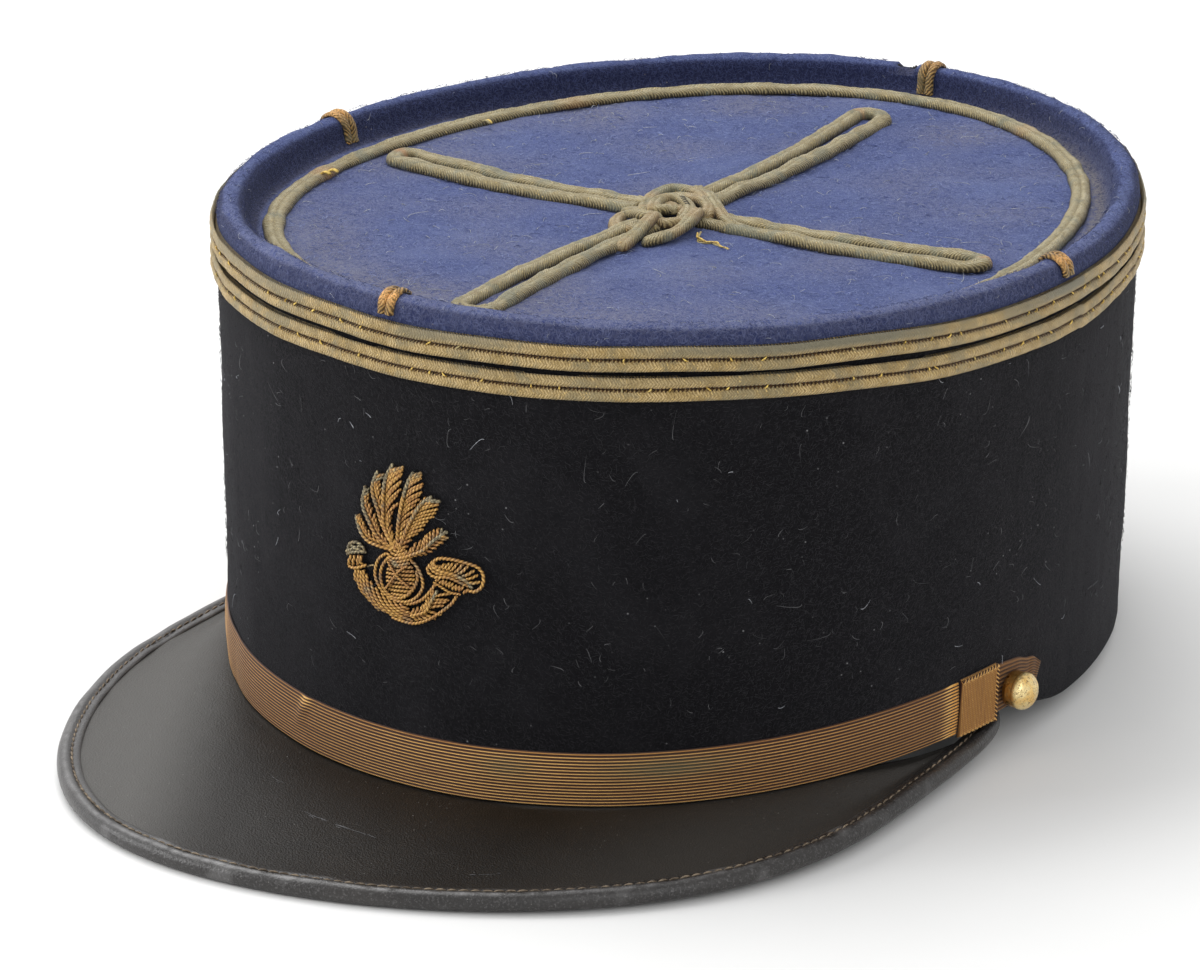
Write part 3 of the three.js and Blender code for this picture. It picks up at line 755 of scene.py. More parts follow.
def blue_top():
    angle = np.linspace(0, 2 * math.pi, 480, endpoint=False)
    seat = WALL + 0.3
    underside = TOP_LEVEL - TOP_THICKNESS
    rows = [(seat, underside), (seat, 87.0), (seat, WALL_TOP + 0.3), (RIM_RADIUS * 0.2, WALL_TOP + 0.3)]
    rows += [(0.25, 88.8), (0.06, 89.8)]
    for turn in np.radians(np.linspace(0, 180, 19)):
        rows.append((RIM_RADIUS - RIM_RADIUS * math.cos(turn), RIM_CENTRE + RIM_RADIUS * math.sin(turn)))
    fillet = curve([(5.6, 90.9), (5.85, 89.8), (6.3, 88.7), (7.2, 88.0), (8.8, TOP_LEVEL + 0.02)], 16)[1:]
    rows += [tuple(r) for r in fillet]
    floor_edge = 10.0
    rows.append((floor_edge, TOP_LEVEL))
    inset = np.array([r[0] for r in rows])
    height = np.array([r[1] for r in rows])
    side = oval(angle[:, None], inset[None], height[None])
    rings = np.linspace(1, 0.012, 34)[1:]
    edge = oval(angle, floor_edge, TOP_LEVEL)
    floor = np.concatenate([edge[:, None, :2] * rings[None, :, None],
                            np.full((len(angle), len(rings), 1), TOP_LEVEL)], -1)
    under_rings = np.linspace(0.012, 1, 10)[:-1]
    under_edge = oval(angle, seat, underside)
    under = np.concatenate([under_edge[:, None, :2] * under_rings[None, :, None],
                            np.full((len(angle), len(under_rings), 1), underside)], -1)
    points = np.concatenate([under, side, floor], 1)
    flat = points.reshape(-1, 3)
    above = smooth(flat[:, 2], 87.0, 87.7)
    rim = smooth(flat[:, 2], 89.5, 92.5)
    uneven = above * (0.16 * ripple(flat, 26, 11) + 0.05 * ripple(flat, 6, 12))
    flat = flat + UP * (uneven + rim * 0.12 * ripple(flat, 17, 13))[:, None]
    torn = tear_share(flat)
    flat[:, 2] -= TEAR_DEPTH * torn
    points = flat.reshape(points.shape)
    level = points[..., 2].copy()
    points[..., 2] += rim_rise(angle[:, None], level)
    n, m = points.shape[:2]
    rows_in = len(under_rings)
    on_floor = np.arange(m) >= rows_in + len(rows)
    depth_in = np.concatenate([np.zeros(rows_in), inset, floor_edge + (1 - rings) * 85])
    near_side = np.cos(angle + NEAR_SIDE)
    facing = smooth(near_side, 0.0, 0.8)[:, None] * (1 - smooth(depth_in, 2.6, 3.4))
    # Painted light and shade: the rim's walls dark, its top and the floor light, its near outer face and its
    # inner side towards +x lighter
    crest = 0.16 + 0.25 * smooth(points[..., 0], 0, 70) * smooth(depth_in, 2.8, 4.6) + 0.2 * facing
    crest = np.maximum(crest + 0.62 * smooth(level, 92.7, 93.6), smooth(depth_in, 7.0, 9.4))
    far = smooth(points[..., 0], -10, 60)
    near = smooth(-points[..., 1], 40, 88)
    # Dust in the corner by the rim and on the floor; the facing and near_side terms paint light on the rim's
    # near outer face and along its top
    dust_and_light = np.exp(-((depth_in - 8.4) / 1.8) ** 2)[None] * (0.18 + 0.77 * far)
    dust_and_light = dust_and_light + on_floor[None] * 0.42 * near + 0.1 * facing * smooth(level, 89, 92)
    dust_and_light = dust_and_light + 0.16 * smooth(near_side, -0.2, 0.8)[:, None] * smooth(level, 92.4, 93.4)
    dust_and_light = dust_and_light + on_floor[None] * 0.12 * (1 + ripple(points, 30, 17))
    front_spot = np.exp(-((angle[:, None] - math.radians(270)) / 0.3) ** 2) * smooth(level, 91.5, 93.4)
    dust_and_light = np.clip(np.maximum(dust_and_light, 0.22 * front_spot + 0.12 * torn.reshape(n, m)), 0, 1)
    uv = points[..., :2].copy()
    wall_rows = (np.arange(m) >= rows_in) & ~on_floor
    uv[:, wall_rows, 0] = (angle * TOP_HALF_LENGTH)[:, None]
    uv[:, wall_rows, 1] = run_lengths(np.stack([inset, height], 1))
    uv = np.concatenate([uv, uv[:1]], 0)
    uv[-1, wall_rows, 0] = 2 * math.pi * TOP_HALF_LENGTH
    part = close_middle(grid(points, uv, True, False, crest, dust_and_light), points)
    piece("blue_top", part, BLUE, ["crown_top"])

    shards = []
    for along, tall, tilt in SHARDS:
        foot = oval(TEAR_ANGLE + along / TOP_HALF_LENGTH, RIM_RADIUS, SHARD_FOOT)
        side = oval(TEAR_ANGLE - 0.01, RIM_RADIUS, SHARD_FOOT) - oval(TEAR_ANGLE, RIM_RADIUS, SHARD_FOOT)
        shards.append(foot + np.array([[0.0], [0.5], [1.0]]) * (UP * tall + unit(side) * tilt))
    thick = np.repeat([[0.6, 0.55, 0.25]], len(SHARDS), 0)
    piece("tear_shards", tubes(np.stack(shards), thick, 5), SHARD)


def galon(name, top, node, seed, dusty):
    """Two ribs with a groove; the rows run up the lower rib and down the upper one."""
    angle_fine = np.linspace(0, 2 * math.pi, 4001)
    lengths = run_lengths(oval(angle_fine, -0.8, top))
    count = int(round(lengths[-1]))
    at = np.linspace(0, lengths[-1], count, endpoint=False)
    angle = np.interp(at, lengths, angle_fine)
    rib = GALON_HEIGHT / 2
    local = np.linspace(-1, 1, 17) * rib / 2
    across = np.concatenate([local + rib / 2, local[::-1][1:] + rib * 1.5])
    local = across - np.where(across <= rib, rib / 2, rib * 1.5)
    mirrored = np.where(across <= rib, 1, -1)
    bulge = (1 - np.clip(np.abs(local) / (rib / 2 + 0.01), 0, 1) ** 2.8) ** 0.5
    along = np.stack([at, at * 0], 1)
    swell = 1 + 0.05 * ripple(along, 8, seed)[:, None] + 0.03 * ripple(along, 2.4, seed + 3)[:, None]
    out = 0.1 + bulge[None] * (GALON_THICKNESS - 0.1) * swell
    crest = np.repeat(bulge[None], count, 0)
    sway = 0.12 * ripple(along, 40, seed + 1)[:, None] - galon_sink(angle)[:, None]
    front = oval(angle[:, None], -(out + 0.05), top - GALON_HEIGHT + across[None] + sway)
    back_up = np.array([GALON_HEIGHT - 0.1, 0.1])
    back = oval(angle[:, None], np.full((1, 2), -0.03), top - GALON_HEIGHT + back_up[None] + sway)
    points = np.concatenate([front, back], 1)
    v = np.concatenate([local * mirrored, [-rib / 2, -rib / 2, local[0]]])
    uv = pattern(np.append(at, lengths[-1]), v)
    patches = np.clip(0.5 + 0.4 * ripple(along, 35, seed + 5)[:, None], 0, 1)
    grey = dusty * smooth(across, rib, rib * 1.6)[None] * patches
    part = grid(points, uv, True, True, with_back(crest), with_back(grey))
    piece(name, part, GALON, [node])

    # Stitches that hold the galon down, in the seam between its ribs
    rng = np.random.default_rng(seed)
    spots = np.arange(0, lengths[-1], STITCH_GAP)
    spots = spots + rng.uniform(-2.4, 2.4, int(math.ceil(lengths[-1] / STITCH_GAP)))
    front_facing = np.cos(np.interp(spots, lengths, angle_fine) + math.radians(90))
    spots = spots[rng.uniform(0, 1, len(spots)) > 0.35 * (front_facing > 0.2)]
    a = np.interp(spots, lengths, angle_fine)
    t = np.linspace(-1, 1, 5)[None]
    height = top - rib + t * 0.42 + np.interp(spots, at, sway[:, 0])[:, None]
    lean = rng.uniform(-0.006, 0.006, (len(a), 1)) * t
    paths = oval(a[:, None] + lean, -(0.95 + 0.35 * (1 - t ** 2)), height)
    radii = np.broadcast_to(0.08 + 0.11 * (1 - t ** 2), paths.shape[:2])
    piece(name + "_stitches", tubes(paths, radii, 5), STITCH)


def stitch_material():
    s = Shader("stitch_thread", Specular_IOR_Level=0.5)
    grain = s.noise(s.mm(), 2.5, 3.0, 0.6)
    colour = s.mix(s.fit(grain, 0.35, 0.6), (0.35, 0.2, 0.04), (0.85, 0.62, 0.16))
    s.color(s.mix(s.fit(s.share("wear"), 0.5, 1.0, 0.0, 0.8), colour, (0.3, 0.27, 0.16)))
    s.metal(0.3)
    s.rough(0.5)
    s.bump(grain, 0.05, 0.6)
    return s.material


STITCH = stitch_material()


def oval_path(step, inset, height, pinch):
    angle = np.linspace(0, 2 * math.pi, 4000)
    path = oval(angle, inset + pinch * np.cos(angle) ** 6, height)
    lengths = run_lengths(path)
    count = int(round(lengths[-1] / step))
    at = np.linspace(0, lengths[-1], count, endpoint=False)
    return np.stack([np.interp(at, lengths, path[:, k]) for k in range(3)], 1)


# Arms of braid: side, bearing, length from the knot's middle and sideways bow
ARMS = [
    ("left", 6.1, 70.7, -0.026),
    ("back", 93.3, 83.5, -0.024),
    ("right", 180.5, 70.0, 0.026),
    ("front", -87.3, 77.0, -0.018),
]


# Worn orange spots: x, y, radius and strength
RING_SPOTS = [
    (18.5, 81.2, 1.0, 0.85),
    (25.3, 78.7, 2.6, 0.45),
    (-72.8, -28.0, 3.0, 0.4),
    (-60.0, 42.0, 4.0, 0.3),
]
ARM_SPOTS = [(-8.2, 70.8, 0.9, 0.3), (-69.5, -8.5, 1.2, 0.6), (67.6, 0.4, 0.9, 0.9)]
RING_STITCHES = [(-72.2, -27.2), (-72.5, -29.4), (-67.2, 19.6)]


def spots(path, places):
    worn = np.zeros(len(path))
    for x, y, radius, strength in places:
        gap = np.hypot(path[:, 0] - x, path[:, 1] - y)
        worn = np.maximum(worn, strength * np.exp(-(gap / radius) ** 2))
    return worn


def top_braid():
    middle = oval_path(0.4, RING_INSET + RING_WIDTH / 2, BRAID_LEVEL, RING_PINCH)
    part = braid_strand(middle, UP, RING_WIDTH / 2, RING_HEIGHT + 0.1, closed=True, groove=0.34, count=17,
                        seed=5, wear=spots(middle, RING_SPOTS))
    piece("ring_braid", part, BRAID, ["top_ring_braid"])
    t = np.linspace(-1, 1, 7)[:, None]
    laid = []
    for x, y in RING_STITCHES:
        spot = np.array([x, y, BRAID_LEVEL + RING_HEIGHT])
        inward = unit(np.array([-x, -y - 10.0, 0.0]))
        across = np.array([-inward[1], inward[0], 0.0])
        laid += [spot + inward * t * 1.0 + across * (0.25 * t + shift) + UP * (0.22 - 0.5 * t ** 2)
                 for shift in (-0.25, 0.25)]
    piece("ring_stitches", tubes(np.stack(laid), np.full((len(laid), 7), 0.24), 6), STITCH)
    for index, (side, bearing, length, bow) in enumerate(ARMS):
        start = KNOT_RADIUS - 4
        root = STRAND_WIDTH / 2 + 0.1
        straight = length - ARM_TIP_SPREAD - STRAND_WIDTH / 2
        share = np.linspace(0, 1, 60)
        spread = root + (ARM_TIP_SPREAD - root) * share
        mid = bow * length * np.sin(share * math.pi)
        out = np.stack([start + (straight - start) * share, mid + spread], 1)
        turn = np.radians(np.linspace(0, 180, 24)[1:-1])
        tip = np.stack([straight + ARM_TIP_SPREAD * np.sin(turn),
                        mid[-1] + ARM_TIP_SPREAD * np.cos(turn)], 1)
        back = np.stack([start + (straight - start) * share, mid - spread], 1)[::-1]
        flat = resample(np.vstack([out, tip, back]), 0.36)
        a = math.radians(bearing)
        x = KNOT_X + flat[:, 0] * math.cos(a) - flat[:, 1] * math.sin(a)
        y = KNOT_Y + flat[:, 0] * math.sin(a) + flat[:, 1] * math.cos(a)
        path = np.stack([x, y, np.full(len(x), BRAID_LEVEL)], 1)
        path[:, 2] += 0.1 * ripple(path, 14, 20 + index)
        part = braid_strand(path, UP, STRAND_WIDTH / 2, STRAND_HEIGHT, groove=0.26, seed=30 + index,
                            wear=spots(path, ARM_SPOTS))
        piece("arm_braid_" + side, part, BRAID, ["braid_arm_" + side])


# Cords of the knot: points in plan with the height of the cord's underside over the top's felt
KNOT_CORDS = [
    [(3.5, -19.5, 0.6), (0.2, -22.0, 0.3), (-2.9, -24.1, 0.1), (-5.6, -22.2, 0.1), (-7.4, -18.9, 0.1),
     (-7.0, -16.3, 0.5), (-4.5, -16.4, 1.2), (-1.7, -17.2, 1.6), (1.9, -16.6, 1.5)],
    [(-3.0, -16.0, 0.4), (-5.9, -11.4, 1.0), (-7.8, -6.1, 1.5), (-8.0, -1.2, 1.7), (-6.6, 0.6, 1.8),
     (-4.4, 0.9, 1.9), (-1.2, 0.4, 2.0), (2.1, -1.8, 1.8), (3.4, -4.6, 1.4)],
    [(1.6, -12.8, 2.4), (-1.4, -14.6, 2.3), (-3.8, -10.1, 2.2), (-3.3, -6.5, 2.2), (-0.4, -6.1, 2.1),
     (4.1, -10.0, 2.0), (6.2, -15.1, 1.6), (4.7, -18.2, 1.3), (1.4, -17.6, 1.0)],
    [(-5.6, -4.6, 1.2), (-3.0, -3.2, 1.6), (0.6, -3.2, 1.8), (3.0, -3.6, 1.9), (5.9, -6.0, 1.6),
     (7.9, -9.8, 1.2)],
    [(5.4, -28.6, 0.1), (7.1, -26.2, 0.6), (8.3, -23.0, 1.0), (8.4, -18.4, 1.6), (7.2, -13.0, 2.2),
     (6.2, -9.6, 2.4)],
    [(4.0, -34.5, 0.2), (3.2, -28.5, 1.0), (2.0, -23.0, 1.8), (1.0, -18.8, 2.3), (0.4, -16.9, 2.2)],
    [(-6.2, 8.0, 0.1), (-4.0, 5.0, 0.5), (-0.8, 2.6, 1.2), (2.6, -0.4, 1.9), (6.3, -4.0, 1.7),
     (9.7, -6.7, 1.1), (12.5, -8.6, 0.5), (15.5, -10.2, 0.05)],
    [(-10.0, -13.5, 0.1), (-5.0, -14.0, 0.9), (-1.0, -11.5, 1.3), (2.5, -9.5, 1.5), (4.6, -13.5, 1.4)],
    [(-12.5, -5.5, 0.1), (-8.5, -7.5, 0.4), (-5.6, -9.0, 0.7), (-1.5, -8.8, 1.2), (1.4, -12.0, 1.6)],
]
LOOSE_THREAD = [(11.0, -16.5, 0.9), (12.3, -18.9, 0.5), (14.6, -19.9, 0.3), (15.9, -19.2, 0.45),
                (18.3, -19.9, 0.3), (20.6, -20.4, 0.25)]


def knot():
    parts = []
    for index, cord in enumerate(KNOT_CORDS):
        path = curve([(x, y, BRAID_LEVEL + up) for x, y, up in cord], 160)
        path = resample(path, 0.4)
        worn = 0.13 * np.clip(ripple(path, 7, 300 + index), 0, 1)
        parts.append(braid_strand(path, UP, CORD_HALF_WIDTH, CORD_HEIGHT, groove=0.24, taper=1.3, wear=worn,
                                  seed=61 + index))
    piece("knot_braid", parts, BRAID, ["knot_centre"])

    # Short dark cross stitches on the coil, and a loose end of gold thread
    rng = np.random.default_rng(9)
    t = np.linspace(-1, 1, 5)[None, :, None]
    base = np.array([[-0.2, -6.4, 5.7]]) + np.arange(5)[:, None] * np.array([[0.85, -0.8, -0.02]])
    aim = np.array([[1.0, 0.25, 0.0]])
    paths = base[:, None] + t * aim[:, None] * 0.55 + (1 - t ** 2) * UP * 0.12
    paths[..., 2] += BRAID_LEVEL - 2.0
    piece("knot_stitches", tubes(paths, np.full(paths.shape[:2], 0.09), 6), DARK_THREAD)
    loose = curve(LOOSE_THREAD, 60) + UP * BRAID_LEVEL
    strands = np.stack([loose + rng.normal(0, 0.1, (1, 3)) + 0.1 * ripple(loose, 3, k)[:, None]
                        for k in range(4)])
    radii = np.repeat((0.2 * (1 - 0.7 * np.linspace(0, 1, len(loose)) ** 2))[None], 4, 0)
    piece("loose_gold_thread", tubes(strands, radii, 6), STITCH)


def plain_material(name, low, high, rough, grain_scale=2.0):
    s = Shader(name)
    grain = s.noise(s.mm(), grain_scale, 4.0, 0.6)
    s.color(s.mix(s.fit(grain, 0.35, 0.65), low, high))
    s.rough(rough)
    s.bump(grain, 0.05, 0.6)
    return s.material


DARK_THREAD = plain_material("dark_thread", (0.012, 0.012, 0.012), (0.05, 0.05, 0.045), 0.6)
BROWN_THREAD = plain_material("brown_thread", (0.07, 0.05, 0.032), (0.27, 0.21, 0.145), 0.7, 0.6)
SHARD = plain_material("stiffener", (0.003, 0.003, 0.0035), (0.014, 0.014, 0.015), 0.8)
LINT = plain_material("lint", (0.24, 0.25, 0.28), (0.5, 0.52, 0.56), 0.8)
LINT_DARK = plain_material("band_lint", (0.04, 0.04, 0.043), (0.2, 0.2, 0.21), 0.8, 0.2)
BLUE_HAIR = plain_material("blue_nap", (0.08, 0.105, 0.28), (0.24, 0.29, 0.52), 0.9, 0.3)
# The rim's hairs: a copy of the top's blue nap painted in shade
BLUE_HAIR_SHADED = plain_material("blue_nap_shaded", (0.02, 0.026, 0.085), (0.06, 0.075, 0.19), 0.9, 0.3)
NAVY_HAIR = plain_material("navy_nap", (0.009, 0.009, 0.011), (0.03, 0.03, 0.034), 0.9, 0.3)


def rim_tab(side, bearing, leg, worn):
    a = math.radians(bearing)
    turns = np.linspace(0.02, math.pi, 60)
    inset = RIM_RADIUS - (RIM_RADIUS + 0.3) * np.cos(turns)
    height = RIM_CENTRE + (RIM_RADIUS + 0.3) * np.sin(turns)
    down = np.linspace(0, 1, 14)[1:]
    if leg:
        inset = np.append(inset, inset[-1] + 0.4 * down)
        height = np.append(height, RIM_CENTRE - 2.4 * down)
    else:
        inset, height = inset[:46], height[:46]
    path = oval(a, inset, height + rim_rise(a, height))
    path = resample(path, 0.2)
    ahead = unit(oval(a + 0.02, 0, CAP_HEIGHT) - oval(a - 0.02, 0, CAP_HEIGHT))
    normal = unit(np.cross(tangents(path), ahead))
    if normal[len(normal) // 2, 2] < 0:
        normal = -normal
    lengths = run_lengths(path)
    share = lengths / lengths[-1]
    wear = worn * np.exp(-((share - 0.4) / 0.17) ** 2)
    parts = []
    for sign in (-1, 1):
        one = path + ahead * (TAB_WIDTH / 4 * sign * 0.86)
        parts.append(braid_strand(one, normal, TAB_WIDTH / 4 * 0.92, 0.85, count=11, groove=0.0, wear=wear,
                                  seed=70 + sign, shift=TAB_WIDTH / 4 * sign))
    piece("tab_braid_" + side, parts, COPPER, ["rim_tab_" + side])


# Chin strap
def strap_material():
    s = Shader("strap_braid", Specular_IOR_Level=0.35, Sheen_Weight=0.08)
    u, v = s.thread()
    height = s.share("crest")
    bead = s.math("COSINE", s.times(s.plus(u, s.times(v, 1.7)), 2 * math.pi / 0.42))
    grain = s.noise(s.vector(u, s.times(v, 2.0)), 1.6, 4.0, 0.6)
    along = s.noise(s.vector(s.times(u, 0.05), s.times(v, 1.3)), 1.0, 3.0, 0.6)
    # Purple-brown grooves and gold ribs, with a painted highlight along the ribs' crests
    colour = s.mix(s.fit(height, 0.42, 0.72), (0.035, 0.01, 0.007), (0.5, 0.24, 0.06))
    colour = s.mix(s.fit(height, 0.68, 0.88), colour, (1.0, 0.62, 0.2))
    colour = s.mix(s.fit(along, 0.5, 0.68, 0.0, 0.35), colour, (0.14, 0.05, 0.02))
    colour = s.mix(s.times(s.fit(bead, -0.4, 0.8, 1.0, 0.0), 0.35), colour, (0.07, 0.03, 0.014))
    # Painted glints: small bright spots on the ribs' tops
    glint = s.times(s.fit(grain, 0.56, 0.66), s.fit(height, 0.5, 0.9))
    colour = s.mix(s.times(glint, 0.7), colour, (0.85, 0.5, 0.16))
    copper = s.mix(s.fit(bead, -0.5, 0.6), (0.5, 0.19, 0.03), (0.95, 0.5, 0.1))
    colour = s.mix(s.fit(height, 1.1, 1.5), colour, copper)
    colour = s.mix(s.share("wear"), colour, (0.1, 0.1, 0.055))
    s.color(colour)
    s.rough(0.5)
    s.metal(0.25)
    s.bump(s.plus(bead, grain), 0.06, 0.6)
    return s.material


STRAP = strap_material()


def chin_strap():
    angle_fine = np.radians(np.linspace(-STRAP_END_ANGLE, -180 + STRAP_END_ANGLE, 3000))
    lengths = run_lengths(oval(angle_fine, -1, strap_lower(angle_fine)))
    at = np.arange(0, lengths[-1], 0.8)
    angle = np.interp(at, lengths, angle_fine)
    across = np.linspace(0, STRAP_HEIGHT, STRAP_RIBS * 6 + 1)
    phase = across / STRAP_HEIGHT * STRAP_RIBS
    rib = 0.5 - 0.5 * np.cos(2 * math.pi * phase)
    margin = np.minimum(across, STRAP_HEIGHT - across)
    selvedge = np.exp(-((margin - 0.22) / 0.16) ** 2)
    crown = smooth(margin, 0, 0.5)
    out = 0.06 + crown * (0.08 + 0.36 * np.sin(math.pi * across / STRAP_HEIGHT))
    out = out + rib * 0.22 * crown + selvedge * 0.1
    crest = np.clip(rib * 0.9 + selvedge * 0.12, 0, 0.92)
    crest = crest * (1 - 0.22 * np.exp(-((STRAP_HEIGHT - across - 0.3) / 0.3) ** 2))
    fold_at = np.interp(-math.radians(STRAP_FOLD_ANGLE), -angle_fine, lengths)
    upper = smooth(across, 2.0, 8.0)
    lean = at[:, None] - fold_at - (STRAP_HEIGHT - across)[None] * 0.45
    fold = np.exp(-(lean / 1.3) ** 2) * upper[None]
    wave = 0.18 * ripple(np.stack([at, at * 0], 1), 30, 90)[:, None] * np.ones((1, len(across)))
    lower = strap_lower(angle)[:, None]
    front = oval(angle[:, None], -(out[None] + 0.05 + 0.5 * fold + 0.4 * np.abs(wave)), lower + across[None])
    back_up = np.array([STRAP_HEIGHT - 0.1, 0.1])
    back = oval(angle[:, None], np.full((1, 2), -0.1), lower + back_up[None])
    points = np.concatenate([front, back], 1)
    v = np.concatenate([across, [STRAP_HEIGHT, 0, 0]])
    uv = pattern(at, v)
    green = 0
    for bearing, length, level, share in GREEN_STAINS:
        spot = np.interp(math.radians(bearing), -angle_fine, lengths)
        stain = share * np.exp(-((at[:, None] - spot) / length) ** 2)
        green = green + stain * np.exp(-((across[None] - level) / 2.0) ** 2)
    wear = with_back(np.minimum(green, 1) * 0.6)
    shown = 0.88 + 0.14 * np.exp(-((angle + math.radians(72)) / 0.45) ** 2)
    # Painted highlight along the top of the fold
    crest = shown[:, None] * crest[None] + 0.35 * fold * smooth(across, 8, 10.5)[None]
    crest = with_back(crest)
    from_end = np.minimum(at, lengths[-1] - at)
    crest = crest + 1.2 * np.exp(-(from_end / 2.6) ** 2)[:, None] * (crest > 0.2)
    part = close_ends(grid(points, uv, False, True, crest, wear), points)
    piece("strap_braid", part, STRAP, ["chin_strap"])


def band_spot(bearing, along, sign):
    point = on_band(bearing, sign * along, 0, STRAP_SIDE_HEIGHT)
    return np.arctan2(point[..., 1] / BAND_HALF_LENGTH, point[..., 0] / BAND_HALF_WIDTH)


def strap_slide(side, sign, bearing):
    """The ribbed loop round the strap's end, with a twisted cord on two of its edges."""
    along = np.linspace(0.3, 0.3 + SLIDE_LENGTH, 140)
    across = np.linspace(0, STRAP_HEIGHT + 1.1, 48)
    lower = strap_lower(band_spot(bearing, along, sign)) - 0.9
    ribs = 0.5 - 0.5 * np.cos(2 * math.pi * (along - 0.3) / SLIDE_LENGTH * SLIDE_RIBS)
    edge = np.minimum(across, across[-1] - across)
    turns = along[:, None] / 1.1 + across[None] * 0.9
    twist = np.exp(-((edge - 0.5) / 0.45) ** 2)[None] * (0.5 + 0.5 * np.cos(2 * math.pi * turns))
    out = 0.35 + 0.75 * smooth(edge, 0, 0.6)[None] + 0.15 * ribs[:, None] + 0.3 * twist
    crest = 0.56 + 0.17 * ribs[:, None] + 0.2 * twist
    front = on_band(bearing, sign * along[:, None], out, lower[:, None] + across[None])
    back_up = np.array([STRAP_HEIGHT + 1.0, 0.1])
    back = on_band(bearing, sign * along[:, None], np.full((1, 2), 0.1), lower[:, None] + back_up[None])
    points = np.concatenate([front, back], 1)
    v = np.concatenate([across, [STRAP_HEIGHT, 0, 0]])
    uv = pattern(along, v)[..., ::-1]
    parts = [close_ends(grid(points, uv, False, True, with_back(crest)), points)]
    base = strap_lower(band_spot(bearing, np.array([0.3, 0.3 + SLIDE_LENGTH]), sign)) - 0.9
    rise = np.linspace(0.1, STRAP_HEIGHT + 1.0, 60)
    right_edge = on_band(bearing, sign * (0.15 + SLIDE_LENGTH + 0 * rise), 1.05 + 0 * rise, base[1] + rise)
    run = np.linspace(0.3, SLIDE_LENGTH, 60)
    upper = strap_lower(band_spot(bearing, run, sign)) + STRAP_HEIGHT - 0.1
    top_edge = on_band(bearing, sign * run, 1.15 + 0 * run, upper)
    for line in (right_edge, top_edge):
        line = resample(line, 0.12)
        lengths = run_lengths(line)
        turn = np.arange(8) * math.pi / 4
        pulse = 1 + 0.3 * np.cos(2 * (turn[None] - lengths[:, None] * 3.6))
        section = np.stack([np.cos(turn)[None] * pulse, np.sin(turn)[None] * pulse], -1) * 0.34
        twisted = np.clip(0.2 + 1.2 * (pulse - 0.7), 0, 1)
        parts.append(sweep(line, unit(line * np.array([1, 1, 0])), section, crest=twisted))
    piece("slide_braid_" + side, parts, STRAP, ["strap_slide_" + side])


def strap_tail(side, sign, bearing):
    """The strap's worn end, which narrows towards the button."""
    share = np.linspace(0, 1, 70)
    along = SLIDE_LENGTH + 0.6 + STRAP_END_LENGTH * share
    lower = strap_lower(band_spot(bearing, along, sign)) + STRAP_HEIGHT * (0.02 + 0.13 * share ** 2)
    tall = STRAP_HEIGHT * (0.93 - 0.5 * share ** 2)
    cross = np.linspace(0, 1, 73)
    rib = 0.5 - 0.5 * np.cos(2 * math.pi * cross * 12)
    edge = smooth(np.minimum(cross, 1 - cross), 0, 0.05)
    out = 0.15 + 0.4 * edge + 0.18 * rib * edge
    slant = 2.0 * share[:, None] ** 2
    curl = 0.35 * share[:, None] ** 2 * np.sin(share * 17)[:, None]

    def laid(rows, stand_off):
        reach = sign * (along[:, None] - slant * (1 - rows)[None])
        return on_band(bearing, reach, stand_off, lower[:, None] + tall[:, None] * rows[None] + curl)

    front = laid(cross, out[None] + 0.4 * np.abs(curl))
    back = laid(np.array([0.98, 0.02]), np.full((1, 2), 0.1))
    points = np.concatenate([front, back], 1)
    v = np.concatenate([cross * STRAP_HEIGHT, [STRAP_HEIGHT, 0, 0]])
    crest = with_back(np.repeat(0.45 + rib[None] * 0.16, len(along), 0))
    part = close_ends(grid(points, pattern(along, v), False, True, crest), points)
    piece("strap_tail_" + side, part, STRAP, ["strap_end_" + side])


def button(side, bearing):
    """A domed button with a rolled brim and a dent."""
    height = float(strap_lower(bearing)) + STRAP_HEIGHT * BUTTON_SHARE
    seat = oval(bearing, -1.5, height)
    normal = unit(seat - oval(bearing, 0, height))
    radius = BUTTON_DIAMETER / 2
    neck, brim, depth = radius * 0.96, BUTTON_BRIM, BUTTON_TOP
    rows = [(0.02, 0.0), (neck, 0.0), (neck, 0.8), (neck, 1.6), (neck, brim - 0.5),
            (radius * 0.94, brim - 0.25), (radius * 0.99, brim), (radius, brim + 0.25)]
    rows += [(radius * math.cos(t), brim + 0.25 + (depth - brim - 0.25) * math.sin(t))
             for t in np.radians(np.linspace(6, 89.7, 26))]
    rows = np.array(rows)
    turn = np.linspace(0, 2 * math.pi, 64, endpoint=False)
    guide = unit(np.cross(UP, normal))
    other = np.cross(normal, guide)
    ring = guide * np.cos(turn)[:, None] + other * np.sin(turn)[:, None]
    points = seat + ring[:, None] * rows[None, :, :1] + normal * rows[None, :, 1:]
    dent = seat + guide * 1.9 + other * 2.2 + normal * (depth - 0.8)
    gap = np.linalg.norm(points - dent, axis=-1)
    points = points - normal * (0.35 * np.exp(-gap ** 2))[..., None]
    # Crest 0 on the neck under the brim, which the gilt paints as shade
    crest = np.where(rows[:, 1] < brim - 0.1, 0.0, 1.0)[None]
    part = close_middle(grid(points, None, True, False, crest), points)
    piece("dome_button_" + side, part, GILT, ["button_" + side])


